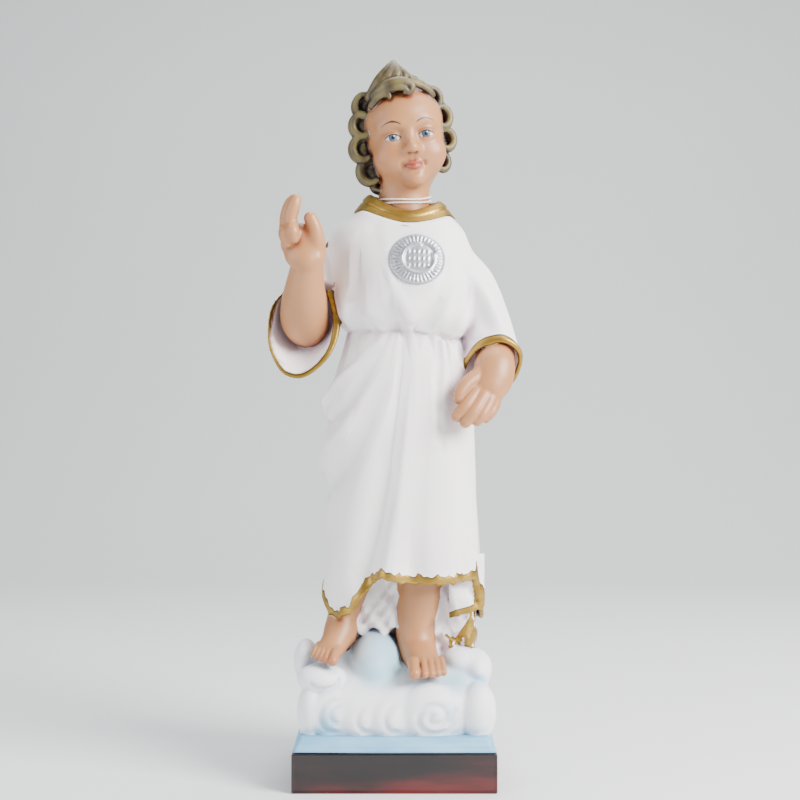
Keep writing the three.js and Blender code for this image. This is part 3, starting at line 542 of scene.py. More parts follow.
def right_sleeve():
    rows = [
        [(-25, 1, 291), (12, 0, -9), (0, -16, 0), 1, 0],
        [(-35, 2, 283), (14, 0, -7), (0, -18, 1), 1, 0],
        [(-45.4, 0, 266), (17.2, 0, -4), (0, -16, 13), 1.15, 0],
        [(-50.8, -17.5, 252), (19.8, 0, 0), (0, 6.2, 24.6), 1.24, -0.16],
    ]

    def folds(angle, place):
        waves = np.sin(angle * 5 + 3 * place) + 0.6 * np.sin(angle * 9 + 1.2)
        return 0.7 * waves * ramp(place, 0.05, 0.3) * (1 - 0.75 * ramp(place, 0.7, 0.95))

    return Sleeve(rows, lambda across, place: 2.5 + 1.5 * np.clip(across, -1, 1), 0.4, folds)


def left_sleeve():
    rows = [
        [(30, 1, 291), (11, 0, 7), (0, -16, 0), 1, 0],
        [(43, 2, 275), (12.4, 0, 5), (0, -18.5, 1), 1, 0],
        [(52.4, -1, 251), (13.8, 1, 2), (-1, -17, 5), 1, 0],
        [(53.9, -15, 226), (14.6, 3, -4.5), (2.4, -9, 16.6), 1.14, -0.15],
    ]

    def folds(angle, place):
        waves = np.sin(angle * 4 + 5 * place) + 0.7 * np.sin(angle * 7 - 4 * place + 1)
        return 0.65 * waves * ramp(place, 0.1, 0.4) * (1 - 0.7 * ramp(place, 0.75, 0.97))

    return Sleeve(rows, lambda across, place: 2.1 + 0.5 * np.clip(across, -1, 1), 0.26, folds)


# Fingers run close together, with creases between them
def raised_hand():
    middle = limb([[-57.4, -38, 300, 4.7], [-57.6, -40, 308, 4.3], [-56, -41, 314.6, 3.7], [-54.4, -41, 317.4, 3]])
    index = limb([[-55, -40, 300, 4.3], [-56, -42.2, 307, 3.8], [-54, -43, 314.2, 3.6], [-53, -42.6, 317.4, 3.1]])
    ring = limb([[-55.8, -41, 304, 3.7], [-54.8, -45.4, 300.4, 3.7], [-54.2, -44.8, 296.6, 3.2]])
    little = limb([[-58.6, -39, 302, 3.6], [-58.8, -43.4, 298.6, 3.5], [-57.6, -42.6, 294.4, 3]])
    thumb = limb([[-43.6, -35, 288, 6], [-42.6, -37.4, 295, 5.3], [-43.2, -39.6, 302, 4.3], [-45.2, -41, 307.6, 3.6]])
    heel = limb([[-54, -37.4, 287, 5], [-48, -39, 284.8, 5], [-43.4, -38, 286, 4.6]])
    palm = fused([ball([-50.6, -35.6, 295], [11.2, 6.6, 10.6]), heel], 3)
    raised = fused([middle, index], 0.5)
    curled = fused([ring, little], 1)
    return fused([fused([fused([palm, thumb], 2), raised], 1.6), curled], 1.1)


def right_forearm():
    return limb([
        [-47.5, 5, 250, 10.5],
        [-50.4, -8, 253.6, 13.2],
        [-50.2, -18, 262, 12.9],
        [-49, -26.5, 273, 10.8],
        [-47.8, -31.5, 282, 9.1],
        [-48.6, -34.5, 289, 8.8],
    ], steps=5)


def hanging_hand():
    fingers = [
        limb([[44, -32, 213.6, 4.1], [38.6, -36.4, 206.4, 3.9], [33.8, -37.2, 201, 3.3]]),
        limb([[47.8, -33.2, 211, 4.1], [42.8, -37.6, 203, 3.9], [38.4, -38, 197.8, 3.3]]),
        limb([[51.6, -32.8, 208.8, 3.8], [47.7, -36.8, 202, 3.6], [44.5, -37.2, 198.4, 3]]),
        limb([[54.6, -30.4, 207.4, 3.5], [52, -33.8, 202.6, 3.1], [49.6, -34.4, 199.6, 2.6]]),
    ]
    thumb = limb([[47, -26.6, 223.6, 5], [40, -31.4, 218.6, 4.3], [35.8, -34.4, 213.6, 3.6], [34.6, -35.4, 210.6, 3]])
    back = fused([
        ball([54.2, -23.6, 222.6], [11.4, 9.8, 14.4], (-20, 16, 0)),
        ball([50, -29, 213], [8, 5.6, 8], (0, 30, 0)),
    ], 5)
    wrist = limb([[55, 4, 246, 10], [56.4, -10, 237, 10.8], [55.6, -19, 229, 10.6]])
    knuckles = fused(fingers, 0.3)
    return fused([fused([fused([wrist, back], 4), knuckles], 2), thumb], 0.7)


# Foot: leg, instep and five toes set out from the big one to the little one
def foot(leg, arch, big, little, lead, radii):
    big, little, lead = np.array(big, float), np.array(little, float), np.array(lead, float)
    toes = []
    for index, radius in enumerate(radii):
        t = (0, 0.34, 0.58, 0.8, 1)[index]
        tip = big + (little - big) * t + lead * (0.16 * math.sin(math.pi * (0.2 + 0.7 * t)) - 0.1)
        root = tip - lead * (1.0 if index else 0.9) + np.array([0, 0, 0.6])
        knuckle = tip - lead * 0.42 + np.array([0, 0, 1.0])
        toes.append(limb([[*root, radius * 0.95], [*knuckle, radius * 0.95], [*tip, radius]]))
    instep = fused([limb(part) for part in arch], 5)
    return fused([fused([limb(leg), instep], 4), fused(toes, 0.25)], 1.3)


def left_foot():
    return foot(
        leg=[[13, -4, 126, 14.6], [14, -6, 108, 14], [12.6, -7, 92, 11.8], [11.8, -7, 81, 10.4]],
        arch=[
            [[11.8, -8, 76, 10.2], [12.4, -14, 69, 9], [13.6, -23, 64.6, 7], [13.2, -28, 63, 5.4]],
            [[13, -10, 70, 9], [18, -20, 65.4, 6.8], [22.4, -27.4, 62.8, 4.6]],
            [[11.4, 0, 70, 8.6], [11.6, 6, 65, 7.6]],
        ],
        big=(10.9, -39.4, 61.8),
        little=(26.6, -35.6, 61.6),
        lead=(0.9, -9.4, -4.6),
        radii=(3.35, 2.35, 2.25, 2.1, 2.0),
    )


def right_foot():
    return foot(
        leg=[[-20, -4, 122, 13], [-26, -9, 100, 9.8], [-29.6, -12.6, 88, 7.9], [-30.4, -14.6, 82, 7.7]],
        arch=[
            [[-30.2, -14, 81, 7.7], [-31.6, -19, 77, 6.9], [-32.8, -25, 73, 5.4], [-33.2, -28, 71.6, 4.6]],
            [[-30.6, -15, 79, 7], [-35.2, -22, 75.4, 5.4], [-38.6, -25.6, 73.2, 4]],
            [[-29, -9, 79, 7], [-28, -4, 75, 6.6]],
        ],
        big=(-33.4, -37.4, 68.4),
        little=(-44.2, -31.6, 70.4),
        lead=(-2.2, -8.2, -3.8),
        radii=(2.9, 2.0, 1.95, 1.85, 1.75),
    )


# Head frame: place, tilt and size; the face in it follows plain child proportions
HEAD_MIDDLE = np.array([5.6, 0.0, 358.5])
HEAD_TURN = rotation(0, -8.5, 0) @ rotation(0, 0, 6)
EYE = {"x": 9.3, "y": -17.3, "z": -3.0, "radius": 5.2}
LIDS = {"upper": 1.55, "upper_bend": -0.085, "lower": -1.95, "lower_bend": 0.075}
BROW_Z, NOSE_Z, MOUTH_Z, CHIN_Z = 5.4, -10.6, -19.2, -26.0


def in_head(shape):
    return shape.moved(HEAD_TURN, HEAD_MIDDLE)


def both_sides(make):
    return [make(-1), make(1)]


def skull():
    return fused([
        ball([0, 3, 6.6], [23.3, 26.4, 24.6]),
        ball([0, -3.4, -8], [19.8, 19.6, 20.4]),
        ball([0, -6, -16.4], [15.4, 14, 12.4]),
        ball([0, -7.4, 8], [19, 16.6, 15]),
        *both_sides(lambda side: ball([side * 10.8, -13, -12.4], [9, 8, 8.4])),
        ball([0, -17.4, CHIN_Z], [5.6, 4.8, 4.6]),
    ], 6)


def eye(side):
    centre = np.array([side * EYE["x"], EYE["y"], EYE["z"]])
    return ball(centre, [EYE["radius"]] * 3)


def eyelids(side):
    centre = np.array([side * EYE["x"], EYE["y"], EYE["z"]])
    lid = ball(centre, [EYE["radius"] + 0.7] * 3)

    def distance(p):
        offset = p - centre
        square = offset[:, 0] ** 2
        upper = offset[:, 2] - (LIDS["upper"] + LIDS["upper_bend"] * square)
        lower = (LIDS["lower"] + LIDS["lower_bend"] * square) - offset[:, 2]
        return smooth_max(lid.distance(p), -np.maximum(upper, lower), 0.4)

    return Shape(distance, lid.low, lid.high)


def eye_opening(side):
    centre = np.array([side * EYE["x"], EYE["y"] - EYE["radius"], EYE["z"] - 0.2])

    def distance(p):
        offset = p - centre
        square = offset[:, 0] ** 2
        upper = offset[:, 2] - (LIDS["upper"] + LIDS["upper_bend"] * square)
        lower = (LIDS["lower"] + LIDS["lower_bend"] * square) - offset[:, 2]
        return np.maximum(np.maximum(upper, lower), np.abs(offset[:, 1]) - 3)

    return Shape(distance, centre - [6, 4, 3], centre + [6, 4, 3])


def nose():
    bridge = limb([[0, -20.6, 2, 2.6], [0, -22.4, -4, 2.3], [0, -24.9, NOSE_Z + 1, 2.7]])
    tip = ball([0, -25, NOSE_Z], [3.1, 2.9, 2.7])
    wings = both_sides(lambda side: ball([side * 3.1, -23, NOSE_Z - 0.5], [2.1, 2.5, 1.9]))
    return fused([bridge, tip, *wings], 2)


def lips():
    upper = limb([[-5, -20.2, -18.7, 0.7], [-1.8, -22.6, -17.9, 1.15], [0, -22.8, -18.2, 1.05],
                  [1.8, -22.6, -17.9, 1.15], [5, -20.2, -18.7, 0.7]])
    lower = limb([[-3.8, -21, -19.9, 0.9], [0, -22.5, -20.7, 1.6], [3.8, -21, -19.9, 0.9]])
    return fused([upper, lower], 0.7)


def face():
    form = skull()
    for side in (-1, 1):
        form = carved(form, ball([side * 9.4, -24.4, -2.4], [6.4, 3.6, 4.2]), 3.6)
    brows = [
        limb([[side * 4.4, -20.4, 4.2, 2], [side * 9.2, -20, 5.4, 2.2], [side * 14, -17, 3.8, 1.8]])
        for side in (-1, 1)
    ]
    form = fused([form, *brows], 4.5)
    form = fused([form, nose()], 2.4)
    form = fused([form, lips()], 1.6)
    form = fused([form, eyelids(-1), eyelids(1)], 1.6)
    parting = limb([[-4.9, -22, -18.9, 0.35], [0, -24.6, MOUTH_Z - 0.2, 0.5], [4.9, -22, -18.9, 0.35]])
    nostrils = [ball([side * 1.7, -24.4, NOSE_Z - 2.5], [0.9, 1.3, 0.8]) for side in (-1, 1)]
    corners = [ball([side * 5.9, -21.6, -18.8], [1.2, 1.5, 1.2]) for side in (-1, 1)]
    cuts = [(parting, 0.6), (ball([0, -23.8, -23.4], [3.8, 1.8, 1.3]), 1.8), (ball([0, -24.6, -15], [0.9, 1.5, 2]), 1.2)]
    cuts += [(nostril, 0.7) for nostril in nostrils] + [(corner, 1.6) for corner in corners]
    cuts += [(eye_opening(side), 0.3) for side in (-1, 1)]
    for cutter, blend in cuts:
        form = carved(form, cutter, blend)
    ears = both_sides(lambda side: ball([side * 22, 2.4, -7], [2.8, 5, 7.4]))
    return fused([fused([form, *ears], 2), *both_sides(eye)], 0.15)


# Curl of hair: a rounded tuft whose locks wind into its middle
def curl(centre, outwards, radius, height, wind, phase=0.0):
    centre, outwards = np.array(centre, float), np.array(outwards, float)
    outwards /= length(outwards)
    u = np.cross([0.0, 0.0, 1.0], outwards)
    u /= max(length(u), 1e-6)
    v = np.cross(outwards, u)

    def distance(p):
        offset = p - centre
        x, y, n = offset @ u, offset @ v, offset @ outwards
        local = np.stack([x / radius, y / radius, n / height], axis=1)
        reach = length(local)
        scaled = local / np.array([radius, radius, height])
        base = reach * (reach - 1) / np.maximum(length(scaled), 1e-6)
        spread = np.hypot(x, y) / radius
        spiral = np.cos(np.arctan2(y, x) * wind - 7.2 * spread + phase)
        return base + 0.75 * (1 - spiral) * ramp(spread, 0.12, 0.45) * (1 - ramp(spread, 1.1, 1.5))

    reach = max(radius, height) + 1
    return Shape(distance, centre - reach, centre + reach)


HAIR_CENTRE, HAIR_HALVES = np.array([0.0, 4.4, 7.2]), np.array([25.0, 26.6, 26.2])


def hair_cap():
    cap = ball(HAIR_CENTRE, HAIR_HALVES)

    def distance(p):
        front = -0.9 * (p[:, 1] + 14.5) - 0.43 * (p[:, 2] - 24)
        strands = 0.25 * np.sin(p[:, 0] * 1.7 + 0.5 * np.sin(p[:, 2] * 0.4))
        return smooth_max(cap.distance(p) + strands, front, 2.5)

    return Shape(distance, cap.low, cap.high)


def crown_curls():
    curls = []
    for row, (elevation, count, radius) in enumerate([(66, 6, 8.6), (40, 10, 8.4), (14, 12, 8.2), (-12, 12, 8.0),
                                                      (-36, 10, 7.4)]):
        for index in range(count):
            azimuth = 360 * (index + 0.5 * (row % 2)) / count + 4 * math.sin(index * 2.3 + row)
            off_front = abs((azimuth + 180) % 360 - 180)
            if off_front < (44 if elevation > 60 else 66 if elevation > 30 else 84):
                continue
            e, a = math.radians(elevation), math.radians(azimuth)
            outwards = np.array([math.cos(e) * math.sin(a), -math.cos(e) * math.cos(a), math.sin(e)])
            centre = HAIR_CENTRE + outwards * HAIR_HALVES * 0.97
            size = radius * (1 + 0.09 * math.sin(index * 3.1 + row * 1.7))
            curls.append(curl(centre, outwards, size, 4.4, 1 if index % 2 else -1, index * 1.9 + row))
    return curls


# Lobes that frame the face: x, y, z in the head, radius, thickness of the lock
FRAME_LOBES = [
    (-20.4, -5, 19.4, 6, 2.7),
    (-23.6, -4.6, 9, 6, 2.8),
    (-25, -3.6, -3.8, 6.4, 2.9),
    (-22.2, -1.4, -16.4, 6.6, 3),
    (-17.4, 1.4, -23.4, 4.6, 2.6),
    (17.6, -6, 18.6, 5.2, 2.6),
    (21.6, -5, 7.8, 5.4, 2.7),
    (22.4, -3, -4.6, 5.2, 2.7),
    (18.6, -0.4, -16.4, 4.4, 2.5),
]


# Wavy lock: two strands that bend round the outer side of a lobe, open to the face
def lobe(x, y, z, radius, thick):
    side = 1 if x > 0 else -1
    strands = []
    for inset, girth, lift in ((0, thick, 0), (thick * 1.15, thick * 0.72, 0.5), (-thick * 0.1, thick * 0.8, -4)):
        reach = radius - inset
        stations = []
        for step in range(7):
            angle = math.radians(118 - 236 * step / 6)
            stations.append([
                x + side * math.cos(angle) * reach * 0.85,
                y - lift * -1 + 2.4 * math.cos(angle),
                z + math.sin(angle) * reach,
                girth * (0.62 + 0.38 * math.cos(angle * 0.75)),
            ])
        strands.append(limb(stations, steps=3))
    core = ball([x - side * 0.5, y + 4.6, z], [radius * 0.95, radius * 0.9, radius * 1.05])
    return fused([core, *strands], 0.5)


def frame_lobes():
    return [lobe(*row) for row in FRAME_LOBES]


# Tuft, sweeping forelock and the small locks at the hairline, each a bundle of strands
def top_locks():
    tuft = fused([
        ball([-5, -8, 27], [11, 10, 8.5]),
        limb([[-17, -11, 23, 3.4], [-11, -14, 30.5, 3.6], [-5, -14, 36.6, 2.8], [-1.6, -12, 41, 1.2]]),
        limb([[-12, -15, 24.5, 3.2], [-6.6, -17.4, 31, 3.2], [-2.6, -15.6, 36.8, 2.3], [-1.2, -12.6, 40.4, 1.2]]),
        limb([[-6, -17, 26, 3], [-2, -18.2, 31.4, 2.9], [-0.4, -16, 36, 2], [-0.8, -13, 39.6, 1]]),
        limb([[1.5, -16.6, 28, 3], [2.8, -16.6, 31.6, 2.5], [1.4, -14.8, 35.4, 1.8], [-0.4, -12.6, 38.8, 1]]),
        limb([[6, -12, 28, 3.4], [4.6, -11.6, 32, 2.6], [1.6, -11, 36, 1.6]]),
        limb([[-10, -6, 30, 4], [-5, -7, 35, 3], [-1.6, -9.6, 39.4, 1.4]]),
    ], 0.5)
    sweep = fused([
        limb([[-15, -15.4, 22.4, 2.8], [-8, -20.6, 26.4, 2.9], [-1, -22.4, 27, 2.9], [4.4, -22.2, 25, 2.6],
              [4.6, -22.8, 21.8, 1.9], [2.2, -23.6, 19.8, 1.1]]),
        limb([[-14, -17.4, 20.6, 2], [-8, -21.6, 23.6, 2.1], [-2, -23.4, 24, 2], [1.6, -23.6, 22, 1.6],
              [0.6, -23.8, 20.4, 1]]),
    ], 0.4)
    fringe = [
        limb([[-17.5, -14, 17.5, 2.2], [-13, -18.6, 21.6, 2.2], [-8.4, -21.2, 20.8, 1.6], [-8, -21.8, 19, 1]]),
        limb([[5, -18.6, 26.6, 2], [10, -17, 25.4, 1.9], [14.6, -14.2, 23, 2.2], [17, -11.6, 20, 2.4]]),
    ]
    return [tuft, sweep, *fringe]


# Medallion: relief over the breast in its own round coordinates
EMBLEM = {"x": 12.3, "z": 286.8, "half": (15.4, 14.1), "flutes": 38, "disc": 0.585, "shift": (0.8, 0.5)}
STROKE = {"lean": 0.25, "half_length": 0.55, "radius": 0.36, "proud": 0.5}


def emblem_places(p):
    x = (p[:, 0] - EMBLEM["x"]) / EMBLEM["half"][0]
    z = (p[:, 2] - EMBLEM["z"]) / EMBLEM["half"][1]
    inner_x = x - EMBLEM["shift"][0] / EMBLEM["half"][0]
    inner_z = z - EMBLEM["shift"][1] / EMBLEM["half"][1]
    return np.hypot(x, z), np.arctan2(z, x), np.hypot(inner_x, inner_z) / EMBLEM["disc"], inner_x, inner_z


# Rows of short parallel strokes on the medallion, clear of each other so that they form no letters
def stroke_rows(x, z):
    total = np.full(len(x), FAR)
    for height in (-0.27, 0.0, 0.27):
        for index in range(5):
            centre = -0.34 + 0.17 * index
            along_z = (z - height) * EMBLEM["half"][1]
            along_x = (x - centre) * EMBLEM["half"][0] - STROKE["lean"] * along_z
            reach = np.maximum(np.abs(along_z) - STROKE["half_length"], 0)
            total = np.minimum(total, np.hypot(along_x, reach) - STROKE["radius"])
    return total


def emblem_relief(p):
    share, angle, inner, x, z = emblem_places(p)
    flutes = np.abs(np.sin(angle * EMBLEM["flutes"] / 2))
    ring = 0.6 + 0.95 * np.sqrt(flutes) * ramp(inner, 1.05, 1.2) * (1 - ramp(share, 0.9, 1.0))
    gap = ramp(np.cos(angle - 0.85), 0.86, 0.93)
    rim = 1.7 * np.exp(-(((inner - 1.0) / 0.09) ** 2)) * (1 - gap)
    strokes = STROKE["proud"] * (1 - ramp(stroke_rows(x, z), -0.2, 0.25))
    disc = (0.55 + strokes) * (1 - ramp(inner, 0.9, 1.0))
    height = np.where(inner < 1, disc, ring * ramp(inner, 1.0, 1.08)) + rim
    return np.maximum(height, 0.3) * (1 - ramp(share, 0.985, 1.03))


def emblem_shape(robe):
    def distance(p):
        share, _, _, _, _ = emblem_places(p)
        surface = robe.column.side(p) - emblem_relief(p) - 0.5
        rim = (share - 1.0) * 14.6
        return smooth_max(np.maximum(surface, -surface - 3.5), rim, 0.5)

    x, z = EMBLEM["x"], EMBLEM["z"]
    return Shape(distance, [x - 17, -40, z - 16], [x + 17, -20, z + 16])


# Clouds
BANK_ROWS = [
    [22, -46, 46, -39, 42],
    [30, -49.5, 50.5, -41.5, 44],
    [42, -51, 52.5, -43, 45],
    [50, -50, 52, -40, 45],
    [56, -47.5, 49.5, -33, 44],
    [61, -44, 45, -25, 42],
    [65, -38, 40, -14, 39],
    [69, -30, 34, -2, 35],
    [72, -20, 24, 8, 30],
]


def bank_relief(degrees, heights, reach):
    angle = np.radians(degrees)
    back = ramp(-np.sin(angle), -0.2, 0.3)
    lobes = np.abs(np.sin(angle * 4.5 + 0.4 + 0.02 * heights)) - 0.5
    small = np.abs(np.sin(angle * 9 + heights * 0.12)) - 0.5
    return (2.6 * lobes + 1.0 * small) * (0.25 + 0.75 * back) * ramp(heights, 26, 36)


def cloud_bank():
    column = Column(BANK_ROWS, 4.2, 22, 72, bank_relief)

    def distance(p):
        ends = np.maximum(24 - p[:, 2], p[:, 2] - 71)
        return smooth_max(column.side(p), ends, 5)

    low, high = column.box()
    return Shape(distance, low, high)


# Cloud puff: a lens whose face looks in a direction (0 front, 90 the +X side), with winding grooves in it
# Groove: first and last share of the lens, first angle, sweep, radius, shift across and up
def puff(across, height, proud, halves, facing=0.0, tilt=14.0, grooves=()):
    turn = rotation(0, 0, facing)
    middle = np.array([across, -proud, height]) @ turn.T
    lens = ball(middle, halves, (0, 0, facing + tilt))
    own = rotation(0, 0, facing + tilt)
    for first, last, start, sweep, radius, shift_x, shift_z in grooves:
        stations = []
        count = max(5, int(abs(sweep) / 28))
        for step in range(count + 1):
            t = step / count
            share = first + (last - first) * t
            angle = math.radians(start + sweep * t)
            u, w = share * math.cos(angle) + shift_x, share * math.sin(angle) + shift_z
            face = math.sqrt(max(1 - u * u - w * w, 0.02))
            local = np.array([u * halves[0], -face * halves[1], w * halves[2]])
            stations.append([*(middle + own @ local), radius * (0.55 + 0.45 * math.sin(math.pi * min(t * 3, 0.5)))])
        lens = carved(lens, limb(stations, steps=3), 1.5)
    return lens


SPIRAL = [(0.62, 0.12, 335, -560, 1.5, 0.06, -0.06), (0.6, 0.5, 20, -50, 2.2, 0.1, -0.04)]
CRESCENT = [(0.62, 0.58, 85, 175, 1.3, 0.2, 0)]
INNER = [(0.66, 0.66, 80, 190, 1.2, 0.05, 0), (0.4, 0.3, 60, 200, 1.1, 0.1, 0)]


def front_clouds():
    return [
        (puff(-50, 63, 6, (7, 16, 12), tilt=0), 3.5),
        (puff(46, 60, 12, (8.4, 16, 10), tilt=0), 4),
        (puff(37, 64, 12, (11, 13, 8.6), tilt=0), 4),
        (puff(-11, 60, 4, (16, 30, 20), tilt=0), 4),
        (puff(2, 62, -30, (28, 14, 12), tilt=0), 4),
        (puff(-46, 40, 33, (7, 10, 15)), 2),
        (puff(45.6, 40, 32.6, (9.8, 11.6, 16.4), tilt=-10), 1.6),
        (puff(-40, 57.6, 29, (13.4, 12.4, 8), grooves=[(0.6, 0.6, 200, 150, 1.2, 0, 0.1)]), 1.2),
        (puff(-33, 39.6, 33.6, (15.4, 10, 14), grooves=INNER), 0.8),
        (puff(-16.6, 37.6, 34.4, (14.4, 10, 12.6), grooves=CRESCENT), 0.6),
        (puff(-1.6, 37.8, 35.2, (14.8, 10, 12.4), grooves=CRESCENT), 0.6),
        (puff(20, 40.4, 36, (19, 10, 16), tilt=4, grooves=SPIRAL), 0.6),
    ]


def side_clouds():
    rows = []
    for facing, proud in ((90, 43), (-90, 42)):
        side = 1 if facing > 0 else -1
        rows += [
            (puff(side * 24, 58, proud - 6, (14, 11, 9), facing, 0, [(0.6, 0.6, 20, 150, 1.2, 0, 0.1)]), 1.6),
            (puff(-side * 2, 39, proud - 2, (15, 10, 13), facing, 14 * side, CRESCENT), 0.7),
            (puff(side * 15, 39, proud - 1, (15, 10, 13), facing, 14 * side, CRESCENT), 0.7),
            (puff(-side * 22, 40, proud, (17, 10, 15), facing, 4, SPIRAL), 0.7),
            (puff(side * 31, 40, proud - 1, (13, 10, 14), facing, 12, INNER), 0.7),
        ]
    for across in (-34, 34):
        rows.append((puff(across, 60, 26, (15, 13, 10), 180, 0, [(0.6, 0.6, 10, 160, 1.2, 0, 0.1)]), 2))
    rows += [
        (puff(34, 40, 33.6, (16, 10, 14.5), 180, 12, INNER), 0.7),
        (puff(16, 38, 34.4, (15, 10, 13), 180, 14, CRESCENT), 0.7),
        (puff(1, 38, 35, (15, 10, 13), 180, 14, CRESCENT), 0.7),
        (puff(-22, 40.4, 35.4, (19, 10, 16), 180, 4, SPIRAL), 0.7),
    ]
    return rows


BED = {"rise": 7.6, "inset": 4.4, "lip": 1.2, "gap": 0.3, "corner": 2.2}


def bed_shape():
    half = (PLINTH_HIGH - PLINTH_LOW) / 2
    bottom = PLINTH_HIGH[2] + BED["gap"]
    top = bottom + BED["rise"]

    def distance(p):
        rise = p[:, 2] - bottom
        inset = 0.5 + (BED["inset"] - 0.5) * np.clip((rise - BED["lip"]) / (BED["rise"] - BED["lip"]), 0, 1) ** 0.8
        x = np.abs(p[:, 0]) - (half[0] - inset - BED["corner"])
        y = np.abs(p[:, 1]) - (half[1] - inset - BED["corner"])
        flat = np.hypot(np.maximum(x, 0), np.maximum(y, 0)) + np.minimum(np.maximum(x, y), 0) - BED["corner"]
        return smooth_max(flat * 0.9, np.maximum(bottom - p[:, 2], p[:, 2] - top), 0.8)

    return Shape(distance, [-half[0], -half[1], bottom], [half[0], half[1], top])


# Under-drape between and behind the legs, in slanting folds
def drape_shape(robe):
    def distance(p):
        side = robe.column.side(np.column_stack([p[:, 0], p[:, 1], np.maximum(p[:, 2], 84)]))
        folds = 1.7 * np.sin((p[:, 0] * 0.86 + p[:, 2] * 0.5) * 0.62) + 0.8 * np.sin((p[:, 0] - p[:, 2] * 0.7) * 0.9)
        front = -(p[:, 1] + 11.5) - folds - 5 * ramp(p[:, 0], 26, 44)
        bottom = 80 - 20 * ramp(p[:, 0], 4, 26) + 2.2 * np.sin(p[:, 0] * 0.5 + 1) - 16 * ramp(p[:, 1], 0, 16)
        ends = np.maximum(bottom - p[:, 2], p[:, 2] - 130)
        return smooth_max(smooth_max(side + 3.4 + 0.3 * folds, front, 3), ends, 2)

    return Shape(distance, [-42, -36, 56], [52, 42, 130])


# Side panel of the skirt that turns in on the figure's left, with its own hem
PANEL = {"low": 88.0, "slope": 0.27, "from_x": 30.0, "to_x": 50.5, "y": -17.0, "wall": 2.6}


def panel_distances(p):
    hem = PANEL["low"] + PANEL["slope"] * (p[:, 0] - PANEL["from_x"])
    folded = 1.2 * np.sin((p[:, 0] + p[:, 2] * 0.8) * 0.42)
    sheet = np.abs(p[:, 1] - (PANEL["y"] + 0.34 * (p[:, 0] - PANEL["from_x"]) + folded)) - PANEL["wall"]
    return p[:, 2] - hem, sheet


def panel_shape():
    def distance(p):
        above, sheet = panel_distances(p)
        ends = np.maximum(PANEL["from_x"] - p[:, 0], p[:, 0] - PANEL["to_x"])
        return smooth_max(smooth_max(sheet, -above, 1.2), np.maximum(ends, p[:, 2] - 124), 1.6)

    return Shape(distance, [28, -28, 84], [54, -2, 126])


NECK = {"middle": (5.3, 1.0), "radius": 14.4}


def neck_shape():
    x, y = NECK["middle"]
    radius = NECK["radius"]
    return limb([[x, y, 296, radius + 1], [x, y, 314, radius], [x, y, 328, radius], [x + 0.3, y + 2, 342, radius + 1]])


class Figure:
    """All parts of the casting, in the order in which they are joined."""

    def __init__(self):
        self.robe = Robe()
        self.sleeves = [right_sleeve(), left_sleeve()]
        self.parts = []
        self.add("bed", bed_shape(), 0)
        self.add("cloud", cloud_bank(), 1)
        for shape, blend in [*side_clouds(), *front_clouds()]:
            self.add("cloud", shape, blend)
        self.add("robe", drape_shape(self.robe), 1)
        self.add("skin", left_foot(), 0.5)
        self.add("skin", right_foot(), 0.5)
        self.add("robe", panel_shape(), 0.5)
        self.add("robe", self.robe.shape(), 0.6)
        self.add("robe", self.sleeves[0].shape(), 3)
        self.add("robe", self.sleeves[1].shape(), 3.5)
        self.add("skin", fused([right_forearm(), raised_hand()], 2.5), 0.8)
        self.add("skin", hanging_hand(), 0.6)
        self.add("emblem", emblem_shape(self.robe), 0)
        self.add("skin", fused([in_head(face()), neck_shape()], 5), 0.5)
        self.add("gold", collar_shape(), 0.4)
        self.add("hair", in_head(hair_cap()), 0.8)
        for shape in [*crown_curls(), *frame_lobes(), *top_locks()]:
            self.add("hair", in_head(shape), 0.7)

        self.lows = np.array([shape.low for _, shape, _ in self.parts])
        self.highs = np.array([shape.high for _, shape, _ in self.parts])

    def add(self, group, shape, blend):
        self.parts.append((group, shape, blend))

    def near(self, low, high, reach=4.0):
        apart = np.maximum(self.lows - reach - high, low - self.highs - reach).max(axis=1)
        return [self.parts[index] for index in np.flatnonzero(apart < 0)]

    def distance(self, p, parts):
        total = np.full(len(p), FAR)
        for _, shape, blend in parts:
            total = smooth_min(total, shape.distance(p), blend)
        return total

    # Distance at scattered points, taken block by block so that only near parts are measured
    def everywhere(self, p, measure):
        keys = np.floor(p / BLOCK).astype(int)
        _, where = np.unique(keys, axis=0, return_inverse=True)
        order = np.argsort(where.ravel(), kind="stable")
        cuts = np.flatnonzero(np.diff(where.ravel()[order])) + 1
        results = [None] * (len(cuts) + 1)
        for number, chosen in enumerate(np.split(order, cuts)):
            points = p[chosen]
            results[number] = measure(points, self.near(points.min(axis=0), points.max(axis=0)))
        joined = np.concatenate(results)
        back = np.empty_like(joined)
        back[order] = joined
        return back

    def at(self, p):
        return self.everywhere(p, self.distance)

    # Distance part by part, which is quick for points that lie far apart
    def roughly(self, p, reach):
        total = np.full(len(p), FAR)
        for _, shape, _ in self.parts:
            close = np.flatnonzero(np.all((p > shape.low - reach) & (p < shape.high + reach), axis=1))
            total[close] = np.minimum(total[close], shape.distance(p[close]))
        return total


